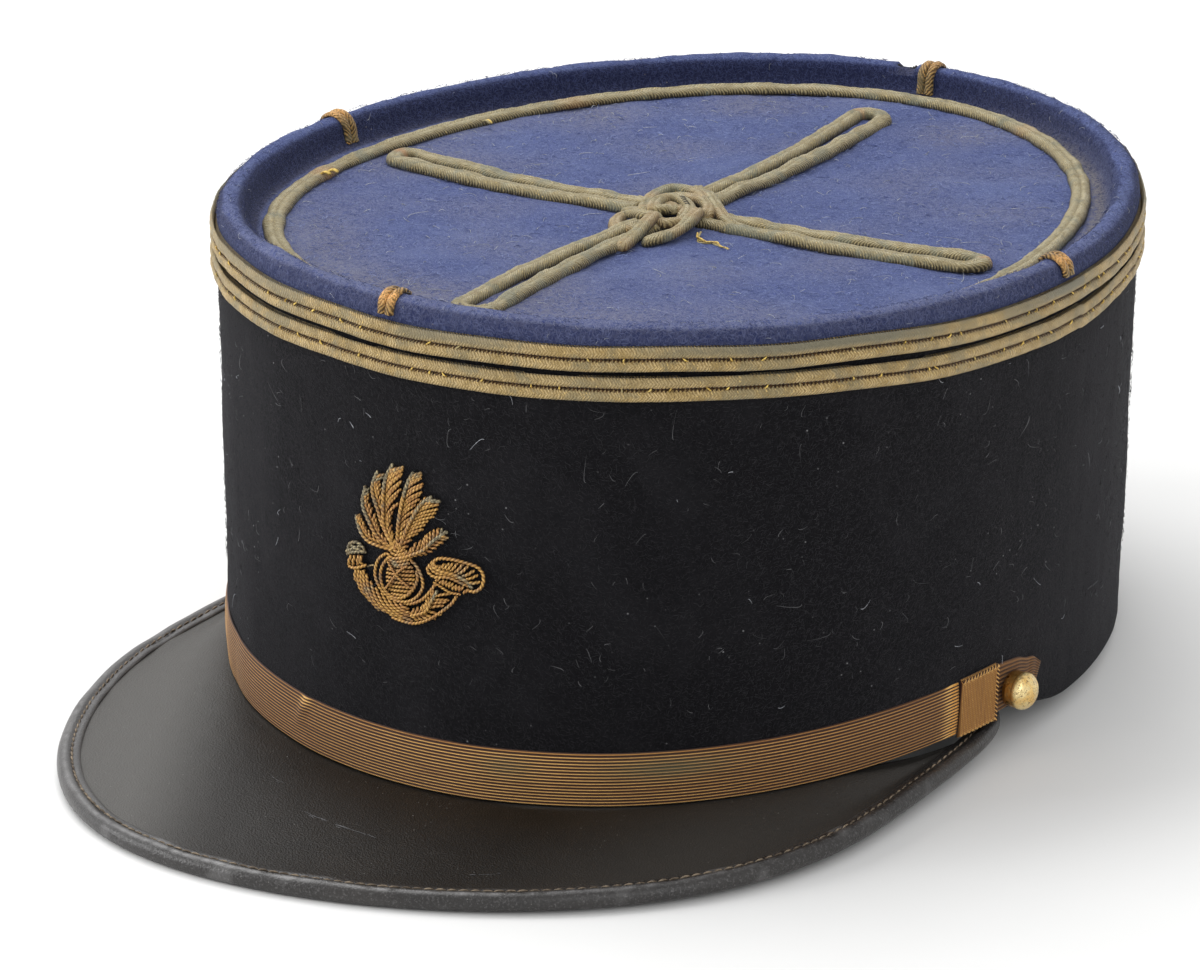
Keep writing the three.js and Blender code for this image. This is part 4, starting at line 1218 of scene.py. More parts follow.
def gilt_material():
    s = Shader("gilt_metal", Coat_Weight=0.15, Coat_Roughness=0.2)
    mm = s.mm()
    broad = s.noise(mm, 0.35, 4.0, 0.6, 0.6)
    spots = s.fit(s.noise(mm, 1.6, 5.0, 0.65, 0.3), 0.55, 0.63)
    scratch = s.fit(s.noise(s.stretch(mm, (0.8, 5.0, 5.0)), 1.4, 3.0, 0.6), 0.53, 0.62)
    colour = s.mix(s.fit(broad, 0.4, 0.65), (1.0, 0.8, 0.4), (0.95, 0.63, 0.22))
    # Painted shade: darker amber where crest is 0, on the button's neck under the brim
    colour = s.mix(s.fit(s.share("crest"), 0.3, 0.7), (0.5, 0.27, 0.07), colour)
    colour = s.mix(s.times(spots, 0.75), colour, (0.16, 0.075, 0.025))
    colour = s.mix(s.times(scratch, 0.55), colour, (0.42, 0.24, 0.07))
    s.color(colour)
    s.metal(s.math("SUBTRACT", 0.95, s.times(spots, 0.5)))
    s.rough(s.fit(broad, 0.3, 0.7, 0.24, 0.42))
    s.bump(s.times(s.plus(spots, scratch), -1.0), 0.035, 0.7)
    return s.material


GILT = gilt_material()


# Visor
def visor_edge(share, inward):
    """A point of the visor's outline, from its right tip round the front, drawn in by inward."""
    share = np.asarray(share, float)

    def at(s):
        def draw(y):
            t = (y - VISOR_CENTRE_Y) / (VISOR_TIP_Y - VISOR_CENTRE_Y)
            return VISOR_SIDE_DRAW * t ** 2 + VISOR_TIP_ROUND * t ** 10
        first = s < TAIL_SHARE
        last = s > 1 - TAIL_SHARE
        part = np.where(first, s / TAIL_SHARE, (1 - s) / TAIL_SHARE)
        tail_y = VISOR_TIP_Y + (VISOR_CENTRE_Y - VISOR_TIP_Y) * part
        turn = math.pi * (s - TAIL_SHARE) / (1 - 2 * TAIL_SHARE)
        forward = np.sin(turn)
        x = -VISOR_HALF_WIDTH * np.cos(turn) + VISOR_SKEW * np.sign(forward) * np.abs(forward) ** 3
        y = VISOR_CENTRE_Y + (VISOR_FRONT_Y - VISOR_CENTRE_Y) * forward
        x = np.where(first, -(VISOR_HALF_WIDTH - draw(tail_y)), x)
        x = np.where(last, VISOR_HALF_WIDTH - draw(tail_y), x)
        return x, np.where(first | last, tail_y, y)

    ahead, behind, here = at(np.minimum(share + 0.002, 1)), at(np.maximum(share - 0.002, 0)), at(share)
    ax, ay = ahead[0] - behind[0], ahead[1] - behind[1]
    norm = np.hypot(ax, ay)
    return here[0] - ay / norm * inward, here[1] + ax / norm * inward


def binding_floor(y):
    """The height of the binding's underside."""
    return VISOR_TIP_HEIGHT + VISOR_SLOPE * (y - VISOR_FLOOR_Y)


def leather(name, base, worn, dusty, rough, pore, specular, grain_depth, scuff):
    """Grained leather: the wear share turns it towards the dusty colour, for dust and rubbing and also for
    the painted reflection on the visor and the painted highlight on the binding.
    """
    s = Shader(name, Specular_IOR_Level=specular)
    mm = s.mm()
    pores = s.cells(mm, pore)
    crumble = s.noise(mm, 3.2, 4.0, 0.6)
    broad = s.noise(mm, 0.035, 4.0, 0.6, 0.5)
    mottle = s.noise(mm, 1.9, 6.0, 0.72, 0.6)
    streak = s.noise(s.stretch(mm, (0.1, 2.4, 1.6)), 0.9, 4.0, 0.65, 0.4)
    colour = s.mix(s.fit(broad, 0.35, 0.7, 0.0, 0.6), base, worn)
    colour = s.mix(s.times(s.fit(crumble, 0.5, 0.72), 0.6), colour, worn)
    colour = s.mix(s.times(s.fit(mottle, 0.5, 0.68), scuff), colour, dusty)
    colour = s.mix(s.times(s.fit(streak, 0.66, 0.78), 0.35), colour, dusty)
    # Wear share: dust and rubbing, and the painted reflection and highlight that the visor and the binding
    # set
    colour = s.mix(s.times(s.share("wear"), s.fit(crumble, 0.3, 0.6, 0.75, 1.1)), colour, dusty)
    speck = s.fit(s.cells(mm, 0.6), 0.05, 0.1, 1.0, 0.0)
    speck = s.times(speck, s.fit(s.noise(mm, 0.08, 3.0), 0.42, 0.6, 0.1, 0.9))
    colour = s.mix(speck, colour, (0.2, 0.195, 0.18))
    s.color(colour)
    s.rough(s.fit(crumble, 0.35, 0.65, rough - 0.03, rough + 0.05))
    s.bump(s.plus(pores, s.times(crumble, 0.6)), grain_depth, 0.7)
    return s.material


LEATHER = leather(
    "visor_leather",
    base=(0.0055, 0.0036, 0.0022),
    worn=(0.0125, 0.0088, 0.0058),
    dusty=(0.09, 0.086, 0.08),
    rough=0.5,
    pore=2.6,
    specular=0.33,
    grain_depth=0.11,
    scuff=0.06,
)
BINDING = leather(
    "binding_leather",
    base=(0.014, 0.0125, 0.012),
    worn=(0.034, 0.03, 0.028),
    dusty=(0.19, 0.185, 0.185),
    rough=0.36,
    pore=2.2,
    specular=0.5,
    grain_depth=0.08,
    scuff=0.4,
)


def visor():
    end = 0.05
    flat_margin = BINDING_WIDTH + 2
    lift = BINDING_THICKNESS - BINDING_SKIN - 0.1 - VISOR_THICKNESS
    share = np.linspace(0, 1, 280)
    ox, oy = visor_edge(end + (1 - 2 * end) * share, BINDING_SKIN + 0.3)
    inner_angle = np.radians(-180 - NOTCH_START + (180 + 2 * NOTCH_START) * share)
    inner = oval(inner_angle, WALL, 0)
    width = np.hypot(ox - inner[:, 0], oy - inner[:, 1])
    flat_from = np.maximum(1 - flat_margin / width, 0.02)
    under = np.minimum(WALL / width, flat_from / 2)
    out = np.linspace(0, 1, 50)[None]
    x = inner[:, :1] + (ox[:, None] - inner[:, :1]) * out
    y = inner[:, 1:2] + (oy[:, None] - inner[:, 1:2]) * out
    joint = (band_lower(inner_angle) - 0.3)[:, None]
    flat = binding_floor(y) + lift + VISOR_THICKNESS
    reach = smooth(out, under[:, None], flat_from[:, None])
    dish = (1 - reach) * smooth(width, flat_margin, 3 * flat_margin)[:, None]
    top = flat + (joint - flat) * dish
    surface = np.stack([x, y, top], -1)
    relief = 0.025 * ripple(surface, 40, 101) + 0.012 * ripple(surface, 6, 102)
    relief *= smooth(out, 0, 0.1) * (1 - smooth(out, 0.9, 1.0))
    surface[..., 2] += relief
    below = surface - np.array([0, 0, VISOR_THICKNESS])
    out_all = np.concatenate([out, out[:, ::-1]], 1)
    points = np.concatenate([surface, below[:, ::-1]], 1)
    # Painted reflection: worn lightens the leather left of the sheen line; it also lightens it towards +x,
    # and marks a dust line along the band
    side = (points[..., :2] - SHEEN_FOOT) @ np.array(SHEEN_ACROSS)
    worn = 0.9 * (1 - smooth(side, -13, 9)) + 0.3 * smooth(points[..., 0], 30, 75)
    worn = worn + 0.4 * np.exp(-((out_all - 0.07) / 0.022) ** 2) * smooth(ripple(points, 30, 141), -1.2, 1.2)
    part = close_ends(grid(points, None, False, True, 0.5, worn), points)
    piece("visor_leather", part, LEATHER, ["visor"])

    # Pale scratches, each a part of its line's length
    rng = np.random.default_rng(55)
    marks = []
    for (x0, y0), (x1, y1), count in SCRATCHES:
        for _ in range(count):
            a, b = np.sort(rng.uniform(0, 1, 2) * 0.5 + rng.uniform(0, 0.5))
            t = np.linspace(a, min(b + 0.06, 1), 7)
            sx = x0 + (x1 - x0) * t + rng.normal(0, 0.25) + 0.3 * np.sin(t * 9)
            sy = y0 + (y1 - y0) * t + rng.normal(0, 0.25) + 0.3 * np.cos(t * 7)
            gap = (surface[..., 0][:, :, None] - sx) ** 2 + (surface[..., 1][:, :, None] - sy) ** 2
            nearest = gap.reshape(-1, 7).argmin(0)
            marks.append(np.stack([sx, sy, surface[..., 2].reshape(-1)[nearest] + 0.01], 1))
    marks = np.stack(marks)
    radii = np.broadcast_to(0.055 * np.sin(np.linspace(0.25, math.pi - 0.25, 7))[None], marks.shape[:2])
    piece("visor_scratches", tubes(marks, radii, 5), LINT_DARK)


def binding():
    radius = BINDING_THICKNESS / 2
    turn = np.radians(np.linspace(-90, 90, 15))
    roll = [(radius - radius * math.cos(t), radius + radius * math.sin(t)) for t in turn]
    skin, top, width = BINDING_SKIN, BINDING_THICKNESS, BINDING_WIDTH
    groove = [(2.3, top - 0.04), (2.7, top - 0.3), (3.0, top - 0.42), (3.3, top - 0.36), (3.8, top - 0.3),
              (4.3, top - 0.42), (width, top - 0.66)]
    inside = [(width, top - skin), (skin + 0.4, top - skin), (skin, radius + 0.4), (skin, radius - 0.4),
              (skin + 0.4, skin), (width, skin), (width, 0.15), (4.4, 0.0)]
    section = np.array(roll + groove + inside)
    fine = np.linspace(0, 1, 5000)
    fx, fy = visor_edge(fine, 0)
    lengths = run_lengths(np.stack([fx, fy], 1))
    at = np.linspace(0, lengths[-1], 620)
    share = np.interp(at, lengths, fine)
    x, y = visor_edge(share[:, None], section[None, :, 0])
    z = binding_floor(y) + section[None, :, 1]
    points = np.stack([x, y, z], -1)
    points[..., 2] += 0.08 * ripple(points, 13, 111) * smooth(section[:, 1], 0.5, 2.0)[None]
    # Wear: a painted highlight along the roll's top, strongest at the front, the left end painted lighter,
    # scuffed clouds, and a lighter inner edge on top
    front = np.exp(-((share - 0.55) / 0.2) ** 2)[:, None]
    left = 1 - smooth(share, 0.3, 0.5)[:, None]
    ridge_highlight = np.exp(-((section[:, 0] - 1.4) / 0.4) ** 2) * (section[:, 1] > radius)
    wear = (0.9 * front + 0.25 * left) * ridge_highlight[None] * (0.75 + 0.3 * ripple(points, 3, 112))
    wear = wear + 0.3 * left
    wear += 0.3 * np.clip(ripple(points, 9, 113) - 1.1, 0, 1) * (section[:, 1] > 0.6)[None]
    wear += 0.35 * np.exp(-((section[:, 0] - BINDING_WIDTH) / 0.3) ** 2)[None] * (section[:, 1] > 2.5)[None]
    part = close_ends(grid(points, None, False, True, 0.5, np.clip(wear, 0, 1)), points)
    piece("rolled_binding", part, BINDING, ["visor_binding"])

    # Stitches in the groove behind the roll
    spots = np.arange(6, lengths[-1] - 6, STITCH_STEP)
    t = np.linspace(-1, 1, 5)
    along = np.interp(spots[:, None] + t * 1.05, lengths, fine)
    sx, sy = visor_edge(along, STITCH_INSET + 0.12 * t)
    sz = binding_floor(sy) + top - 0.42 + 0.2 * (1 - t ** 2)
    paths = np.stack([sx, sy, sz], -1)
    radii = np.broadcast_to(0.1 + 0.14 * (1 - t ** 2), paths.shape[:2])
    piece("binding_stitches", tubes(paths, radii, 5), BROWN_THREAD)


# Cord lines of the badge from the ball's middle (sideways, up)
# Tongues of the flame: spine from root to tip, then how far the side cords reach to its right and to its
# left at five stations
TONGUES = [
    ([(-1.2, 5.5), (-4.3, 5.8), (-7.1, 6.3), (-9.2, 8.1), (-10.5, 10.6)],
     (0.6, 1.6, 1.9, 1.3, 0.5), (0.2, 0.4, 0.5, 0.4, 0.2)),
    ([(-0.8, 5.8), (-4.3, 7.3), (-6.7, 10.3), (-8.4, 13.5), (-8.0, 17.1)],
     (0.8, 1.6, 1.6, 1.4, 0.6), (0.1, 0.2, 0.4, 0.5, 0.2)),
    ([(-0.6, 5.9), (-3.1, 9.8), (-4.3, 12.7), (-6.0, 17.1), (-4.9, 20.9)],
     (0.8, 1.5, 1.8, 2.1, 0.9), (0.1, 0.2, 0.2, 0.2, 0.2)),
    ([(-0.5, 5.7), (-2.8, 9.2), (-3.2, 13.5), (-2.9, 19.3), (-1.2, 23.1)],
     (1.0, 2.6, 3.6, 3.4, 1.2), (0.1, 0.2, 0.2, 0.2, 0.3)),
    ([(-0.2, 6.0), (0.4, 11.1), (1.1, 15.0), (2.3, 19.7), (3.6, 22.3)],
     (1.0, 2.6, 3.4, 2.6, 1.2), (0.2, 0.4, 0.8, 0.4, 0.2)),
    ([(0.2, 5.7), (1.6, 8.8), (3.4, 12.7), (5.6, 16.3), (7.8, 18.2)],
     (1.0, 2.8, 3.6, 2.8, 1.0), (0.2, 0.4, 0.5, 0.6, 0.3)),
    ([(0.3, 4.0), (3.3, 5.5), (6.1, 7.1), (8.6, 9.6), (11.2, 11.7)],
     (0.3, 0.7, 1.2, 1.4, 0.8), (0.6, 1.9, 2.2, 1.5, 0.6)),
]
BALL_CORDS = [
    [(-2.8, 4.5), (-4.8, 2.7), (-5.5, -0.2), (-4.5, -2.5), (-2.8, -3.9), (-0.5, -4.6), (2.3, -4.3),
     (4.5, -2.9), (5.8, -0.6), (5.3, 1.8), (4.0, 3.5), (2.8, 4.2)],
    [(-2.3, 3.8), (-3.8, 1.6), (-4.1, -0.8), (-3.2, -2.8), (-1.2, -4.0), (1.2, -3.7), (3.4, -1.8),
     (4.5, 0.6), (4.2, 2.4)],
    [(-2.8, 4.6), (-0.8, 3.9), (2.5, 5.2)],
    [(-2.7, 3.8), (-0.5, 3.2), (3.0, 4.5)],
    [(-2.3, 3.2), (-0.3, 2.6), (2.7, 3.6)],
    [(-2.2, 5.4), (-0.4, 4.7), (2.2, 5.7)],
    [(-1.6, 6.2), (0.0, 5.4), (1.6, 6.3)],
]
BALL_CROSS = [
    [(2.6, 3.2), (0.7, 1.7), (-1.2, -0.8), (-2.9, -3.0)],
    [(-2.1, 3.2), (0.3, 0.7), (3.0, -1.1)],
]
MOUTH_CORDS = [
    [(-12.9, 2.1), (-12.1, 4.2), (-10.0, 5.0), (-8.3, 3.9)],
    [(-13.4, 2.3), (-11.1, 3.5), (-9.2, 4.5)],
    [(-13.2, 1.8), (-10.9, 2.9), (-8.0, 3.5)],
    [(-12.1, 3.9), (-10.4, 3.9), (-8.6, 3.3)],
    [(-11.8, 2.0), (-12.1, 0.9), (-12.5, -0.5)],
    [(-10.9, 2.2), (-11.0, 1.1), (-11.3, -0.1)],
    [(-9.8, 2.5), (-9.9, 1.3), (-10.0, 0.2)],
    [(-9.1, 2.5), (-9.2, 1.5), (-8.9, 0.6)],
    [(-12.7, -0.5), (-10.9, -0.4), (-9.2, 0.2), (-7.9, 0.9)],
]
HORN_OUTER = [(-11.5, -0.7), (-10.4, -3.1), (-8.8, -5.1), (-5.9, -7.2), (-2.8, -8.2), (1.1, -8.6),
              (4.4, -8.3), (7.6, -6.7), (10.3, -4.6), (12.1, -2.9), (13.2, -1.1)]
HORN_INNER = [(-8.3, -0.1), (-7.5, -1.5), (-5.5, -3.1), (-2.8, -4.3), (0.3, -5.0), (3.1, -4.6), (5.8, -3.1),
              (7.6, -1.0), (8.7, 0.8)]
HORN_SPINE = [(2.9, -7.1), (6.5, -5.5), (7.9, -3.1), (9.1, -0.7)]
BELL_SPINE = [(8.4, 5.1), (8.4, 3.9), (10.3, 3.5), (13.0, 3.3), (15.3, 2.4), (16.6, 0.8)]
BELL_CORDS = [
    [(7.3, 4.3), (6.8, 2.9), (8.4, 2.0), (11.7, 2.4), (14.3, 1.6), (16.0, 1.2)],
    [(8.0, 4.7), (7.6, 3.4), (9.3, 2.8), (12.0, 3.0), (14.8, 2.3), (16.3, 1.7)],
    [(7.3, 4.3), (9.3, 5.8), (12.0, 6.2), (15.0, 6.0), (17.6, 5.4), (18.9, 3.8)],
    [(18.6, 4.4), (18.9, 2.8), (18.4, 1.4), (17.0, 0.4), (15.4, 0.3)],
]


def spread_along(share, values):
    """Spreads one value or several evenly over a cord's length."""
    values = np.resize(values, max(np.size(values), 2))
    return np.interp(share, np.linspace(0, 1, len(values)), values)


def badge_tube(flat, radius, out, sides=8, wear=0.0):
    """A twisted wire cord along a flat path (x, z in mm), lying at a distance from the felt."""
    flat = resample(np.asarray(flat, float), radius * 0.68)
    lengths = run_lengths(flat)
    share = lengths / lengths[-1]
    lift = spread_along(share, out)
    front = math.radians(-90)
    path = on_band(front, flat[:, 0], 0.15 + lift + radius, BADGE_CENTRE + flat[:, 1])
    normal = np.stack([flat[:, 0] * 0.012, np.full(len(flat), -1.0), np.zeros(len(flat))], 1)
    turn = np.arange(sides) * 2 * math.pi / sides
    pulse = 1 + 0.17 * np.cos(2 * (turn[None] - lengths[:, None] * 1.3 / radius))
    from_end = np.minimum(lengths, lengths[-1] - lengths)
    size = radius * np.sqrt(np.clip(from_end / radius + 0.25, 0.1, 1))
    section = np.stack([np.cos(turn)[None] * pulse, np.sin(turn)[None] * pulse], -1) * size[:, None, None]
    crest = np.clip(0.5 + 0.5 * np.sin(turn)[None] * pulse, 0, 1) * (0.55 + 0.45 * (pulse - 0.83) / 0.34)
    return sweep(path, unit(normal), section, crest=crest, wear=spread_along(share, wear))


def badge_material():
    """Crest tells a cord's top from its sides and wear how grey its thread has gone."""
    s = Shader("bullion", Specular_IOR_Level=0.4)
    mm = s.mm()
    grain = s.noise(mm, 2.4, 3.0, 0.6)
    broad = s.noise(mm, 0.25, 3.0, 0.6, 0.5)
    height = s.share("crest")
    gold = s.mix(s.fit(broad, 0.4, 0.6), (0.47, 0.25, 0.06), (0.4, 0.19, 0.06))
    aged = s.mix(s.fit(grain, 0.4, 0.6), (0.13, 0.105, 0.06), (0.32, 0.28, 0.18))
    grey = s.plus(s.share("wear"), s.times(s.math("SUBTRACT", broad, 0.5), 1.6), True)
    lit = s.mix(s.fit(grey, 0.3, 0.75), gold, aged)
    # Painted shade on the cords' sides and a painted highlight on their tops
    colour = s.mix(s.fit(height, 0.25, 0.85), (0.012, 0.005, 0.002), lit)
    shine = s.times(s.fit(height, 0.75, 1.0), s.fit(grain, 0.45, 0.65))
    colour = s.mix(s.times(shine, s.fit(grey, 0.3, 0.8, 0.95, 0.4)), colour, (1.0, 0.7, 0.25))
    s.color(colour)
    s.metal(0.35)
    s.rough(s.fit(grain, 0.3, 0.7, 0.38, 0.55))
    s.bump(grain, 0.06, 0.6)
    return s.material


BULLION = badge_material()


def fringe(spine, right, left, pitch, lean, radius, grey, seed):
    """Slanted cords laid off a spine to both sides, then the spine itself over them."""
    rng = np.random.default_rng(seed)
    line = curve(spine, 120)
    lengths = run_lengths(line)
    share = lengths / lengths[-1]
    stations = np.linspace(0, 1, len(right))
    cords = []
    for d in np.arange(0.4, lengths[-1] - 0.9, pitch):
        t = d / lengths[-1]
        i = min(int(np.searchsorted(lengths, d)), len(line) - 2)
        ahead = unit(line[i + 1] - line[i])
        for sign, reach in ((-1, np.interp(t, stations, right)), (1, np.interp(t, stations, left))):
            if reach < 0.45:
                continue
            turn = math.radians(sign * (lean + rng.uniform(-5, 5)))
            aim = np.array([ahead[0] * math.cos(turn) - ahead[1] * math.sin(turn),
                            ahead[0] * math.sin(turn) + ahead[1] * math.cos(turn)])
            long = reach / math.sin(math.radians(lean)) * rng.uniform(0.9, 1.05)
            ends = [line[i], line[i] + aim * long * 0.5 + ahead * 0.06 * long, line[i] + aim * long]
            cords.append(badge_tube(ends, radius * rng.uniform(0.9, 1.05), [0.55, 0.6, 0.1], 6,
                                    wear=grey(t) * rng.uniform(0.5, 1.3)))
    cords.append(badge_tube(line, radius * 1.12, [0.5, 0.95, 0.9, 0.4], wear=0.2 + 0.65 * share ** 1.5))
    return cords


def badge():
    radius = WIRE_RADIUS
    flames = []
    for index in (3, 2, 4, 1, 5, 0, 6):
        spine, right, left = TONGUES[index]
        lean = 38 if index < 6 else 48
        flames += fringe(spine, right, left, 1.02, lean, radius, lambda t: 0.9 * t ** 3, index)
    piece("flame_cords", flames, BULLION, ["badge_flame"])

    ball = []
    for z in np.arange(-3.3, 3.0, 0.82):
        half = 3.5 * math.sqrt(max(1 - (z / 4.4) ** 2, 0.1))
        middle = 0.4
        xs = np.linspace(-half, half, 10) + middle
        line = np.stack([xs, z + 0.12 * (xs - middle)], 1)
        ball.append(badge_tube(line, radius * 0.95, [0.15, 0.5, 0.6, 0.5, 0.15], wear=0.25))
    for line in BALL_CORDS:
        ball.append(badge_tube(curve(line, 100), radius, [0.3, 0.55, 0.6, 0.55, 0.3], wear=0.35))
    for line in BALL_CROSS:
        ball.append(badge_tube(curve(line, 40), radius * 0.75, [1.1, 1.35, 1.1], wear=0.1))
    piece("ball_cords", ball, BULLION, ["badge_grenade"])

    horn = []
    for index, line in enumerate(MOUTH_CORDS):
        grey = 0.75 if index < 4 else 0.2
        horn.append(badge_tube(curve(line, 30), radius * 1.05, [0.2, 0.6, 0.2], wear=grey))
    horn.append(badge_tube(curve([(-8.1, 0.4), (-6.7, 1.0), (-5.6, 1.1)], 20), 0.2, 0.1, wear=0.7))
    outer, inner = curve(HORN_OUTER, 200), curve(HORN_INNER, 200)
    outer = resample(outer, run_lengths(outer)[-1] / 199)
    inner = resample(inner, run_lengths(inner)[-1] / 199)
    across = np.linspace(0, 1, 24)
    for start in np.arange(-0.32, 0.56, 0.074):
        track = start + across * 0.36
        keep = (track > 0) & (track < 0.62)
        if keep.sum() < 5:
            continue
        index = np.clip((track[keep] * 199).astype(int), 0, 199)
        mix = across[keep][:, None]
        line = inner[index] * (1 - mix) + outer[index] * mix
        grey = 0.1 + 0.25 * mix[-1, 0]
        horn.append(badge_tube(curve(line[::3], 40), radius, [0.2, 0.75, 0.8, 0.2], wear=grey))
    horn += fringe(HORN_SPINE, (1.3, 2.2, 3.0, 3.0), (1.0, 1.9, 1.6, 0.9), 0.95, 52,
                   radius, lambda t: 0.1, 21)
    horn.append(badge_tube(outer[85:], radius, [0.2, 0.6, 0.6, 0.2], wear=0.3))
    horn.append(badge_tube(inner[105:], radius, [0.2, 0.6, 0.6, 0.2], wear=0.2))
    fold = curve([(8.3, 1.0), (10.0, 0.3), (12.0, -0.5), (14.3, -0.5)], 40)
    horn.append(badge_tube(fold, radius * 0.8, 0.9, wear=-0.3))
    horn += fringe(BELL_SPINE, (0.2, 0.3, 0.3, 0.4, 0.4, 0.3), (0.5, 1.6, 2.4, 2.7, 2.6, 1.6), 0.85, 58,
                   radius, lambda t: 0.1 + 0.5 * t, 22)
    for line in BELL_CORDS:
        horn.append(badge_tube(curve(line, 60), radius * 1.05, [0.2, 0.6, 0.6, 0.2], wear=0.35))
    rng = np.random.default_rng(33)
    for x in np.arange(9.0, 15.4, 0.75):
        z = 1.3 - 0.18 * (x - 9)
        spot = np.array([x, z]) + rng.uniform(-0.15, 0.15, 2)
        stitch = [spot - [0.55, 0.5], spot, spot + [0.5, 0.55]]
        horn.append(badge_tube(stitch, radius, [0.2, 0.6, 0.2], 6, wear=-0.2))
    piece("horn_cords", horn, BULLION, ["badge_horn"])


def nap(name, roots, normals, length, radius, material, slot, seed, points=3, curl=0.5, rise=0.3):
    """Single hairs that lie on the felt: roots and normals are (count, 3)."""
    rng = np.random.default_rng(seed)
    count = len(roots)
    aim = rng.normal(size=(count, 3))
    aim = unit(aim - (aim * normals).sum(1)[:, None] * normals)
    side = np.cross(normals, aim)
    size = length * rng.uniform(0.5, 1.3, count)[:, None, None]
    t = np.linspace(0, 1, points)[None, :, None]
    bend = curl * rng.normal(size=count)[:, None, None]
    lift = (rise * rng.uniform(0.4, 1.6, count))[:, None, None]
    run = aim[:, None] * t * (1 - 0.3 * np.abs(bend) * t) + side[:, None] * bend * t ** 2
    paths = roots[:, None] + size * run
    paths = paths + normals[:, None] * (lift * np.sin(t * math.pi * 0.8) + 0.02)
    thinning = 1 - 0.55 * np.linspace(0, 1, points)[None] ** 2
    radii = radius * thinning * rng.uniform(0.7, 1.2, count)[:, None]
    piece(name, tubes(paths, radii, 3), material, recalc=False)


def outward_at(angle, height):
    return unit(oval(angle, -1, height) - oval(angle, 0, height))


def naps():
    rng = np.random.default_rng(7)

    def top_spots(count):
        angle = rng.uniform(0, 2 * math.pi, count)
        spots = oval(angle, 9.0, TOP_LEVEL)
        spots[:, :2] *= np.sqrt(rng.uniform(0, 1, count))[:, None]
        return spots, np.repeat(UP[None], count, 0)

    def rim_spots(count):
        angle = rng.uniform(0, 2 * math.pi, count)
        turn = np.radians(rng.uniform(5, 175, count))
        spots = oval(angle, RIM_RADIUS - RIM_RADIUS * np.cos(turn), RIM_CENTRE + RIM_RADIUS * np.sin(turn))
        normals = outward_at(angle, CAP_HEIGHT) * np.cos(turn)[:, None] + UP * np.sin(turn)[:, None]
        spots[:, 2] += rim_rise(angle, spots[:, 2])
        whole = np.linalg.norm(spots - oval(TEAR_ANGLE, RIM_RADIUS, CAP_HEIGHT), axis=1) > 5
        return spots[whole], normals[whole]

    def band_spots(count):
        angle = rng.uniform(0, 2 * math.pi, count)
        height = rng.uniform(0, 1, count) * (LOWER_GALON_TOP - GALON_HEIGHT - 17) + 16
        return oval(angle, 0, height), outward_at(angle, CAP_HEIGHT / 2)

    nap("top_nap", *top_spots(7600), 1.5, 0.058, BLUE_HAIR, "blue_felt", 201, rise=0.22)
    # The rim's hairs take the blue nap's copy painted in shade
    nap("rim_nap", *rim_spots(4300), 0.9, 0.05, BLUE_HAIR_SHADED, "blue_felt", 202, rise=0.22)
    nap("band_nap", *band_spots(5600), 1.3, 0.052, NAVY_HAIR, "navy_felt", 203, rise=0.2)
    nap("top_lint", *top_spots(520), 1.5, 0.065, LINT, "blue_felt", 204, 7, 1.4, 0.3)
    nap("rim_lint", *rim_spots(160), 1.1, 0.04, LINT, "blue_felt", 205, 5, 0.9, 0.3)
    nap("band_flecks", *band_spots(70), 1.3, 0.075, LINT, "navy_felt", 207, 9, 1.8, 0.25)
    nap("band_lint", *band_spots(720), 1.5, 0.05, LINT_DARK, "navy_felt", 206, 7, 1.4, 0.25)


felt_band()
blue_top()
galon("upper_galon_braid", UPPER_GALON_TOP, "upper_galon", 41, 1.0)
galon("lower_galon_braid", LOWER_GALON_TOP, "lower_galon", 51, 0.25)
top_braid()
knot()
for tab in TABS:
    rim_tab(*tab)
chin_strap()
for side, sign, middle in (("left", 1, 0), ("right", -1, -180)):
    strap_slide(side, sign, math.radians(middle - sign * STRAP_END_ANGLE))
    strap_tail(side, sign, math.radians(middle - sign * STRAP_END_ANGLE))
    button(side, math.radians(middle - sign * BUTTON_ANGLE))
visor()
binding()
badge()
naps()


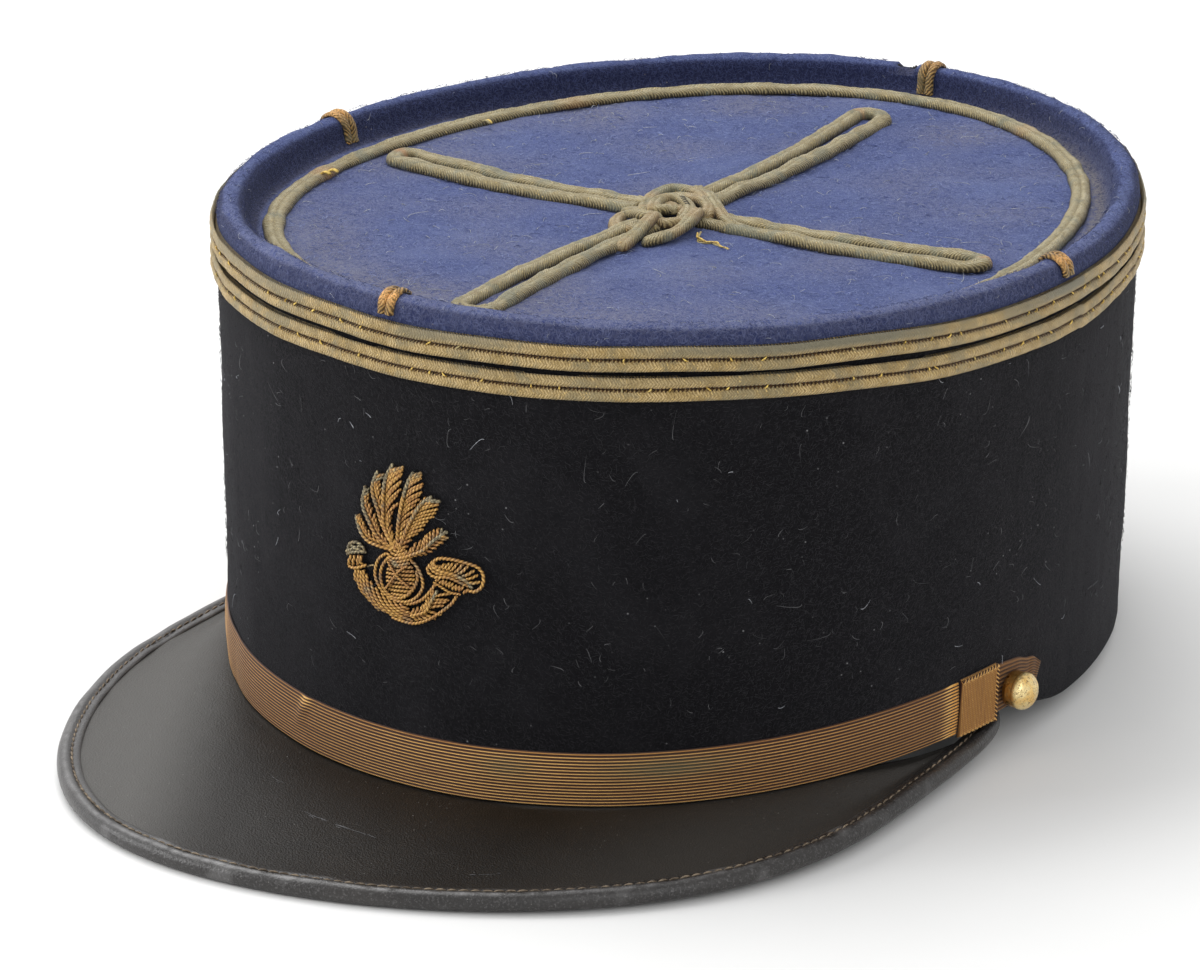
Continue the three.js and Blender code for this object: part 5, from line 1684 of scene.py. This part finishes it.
# Camera, floor and light
def camera():
    azimuth, elevation, roll = math.radians(34.95132), math.radians(19.38342), math.radians(0.20103)
    distance, focal, shift_x, shift_z = 1526.2, 7512.0, 20.21926, 17.30025
    back = np.array([math.sin(azimuth) * math.cos(elevation), -math.cos(azimuth) * math.cos(elevation),
                     math.sin(elevation)])
    right = np.array([math.cos(azimuth), math.sin(azimuth), 0])
    up = np.cross(back, right)
    r = right * math.cos(roll) + up * math.sin(roll)
    u = -right * math.sin(roll) + up * math.cos(roll)
    spot = np.array([0, 0, 46.855]) + back * distance - r * shift_x - u * shift_z
    data = bpy.data.cameras.new("camera")
    data.sensor_width = 36
    data.sensor_fit = "HORIZONTAL"
    data.lens = focal * 36 / 1200
    data.clip_end = 20
    obj = bpy.data.objects.new("camera", data)
    bpy.context.scene.collection.objects.link(obj)
    matrix = np.eye(4)
    matrix[:3, 0], matrix[:3, 1], matrix[:3, 2] = LEAN_MATRIX @ r, LEAN_MATRIX @ u, LEAN_MATRIX @ back
    matrix[:3, 3] = place(spot)
    obj.matrix_world = Matrix(matrix.tolist())
    bpy.context.scene.camera = obj


def lamp(name, spot, size, power):
    """A rectangular lamp that looks at the cap's middle."""
    data = bpy.data.lights.new(name, "AREA")
    data.shape = "RECTANGLE"
    data.size, data.size_y = size
    data.energy = power
    obj = bpy.data.objects.new(name, data)
    bpy.context.scene.collection.objects.link(obj)
    obj.location = spot
    obj.rotation_euler = (Vector((0, 0, 0.05)) - Vector(spot)).to_track_quat("-Z", "Y").to_euler()


def studio():
    world = bpy.data.worlds.new("studio")
    world.use_nodes = True
    world.node_tree.nodes["Background"].inputs[0].default_value = (1.0, 1.0, 1.0, 1)
    world.node_tree.nodes["Background"].inputs[1].default_value = 0.75
    bpy.context.scene.world = world
    mesh = bpy.data.meshes.new("floor")
    reach = 6.0
    corners = [(-reach, -reach, 0), (reach, -reach, 0), (reach, reach, 0), (-reach, reach, 0)]
    mesh.from_pydata(corners, [], [(0, 1, 2, 3)])
    obj = bpy.data.objects.new("floor", mesh)
    bpy.context.scene.collection.objects.link(obj)
    s = Shader("floor_paper", Roughness=0.9, Specular_IOR_Level=0.1)
    s.color(s.mix(s.noise(s.mm(), 0.02, 3.0), (0.86, 0.86, 0.855), (0.9, 0.9, 0.895)))
    obj.data.materials.append(s.material)
    lamp("key", (-0.9, 0.5, 1.6), (1.4, 1.4), 20)
    lamp("fill", (1.4, -1.0, 1.0), (1.2, 1.2), 7)
    lamp("front", (-1.3, -0.9, 0.7), (0.9, 0.9), 13)
    bpy.context.scene.view_settings.view_transform = "Standard"


camera()
studio()
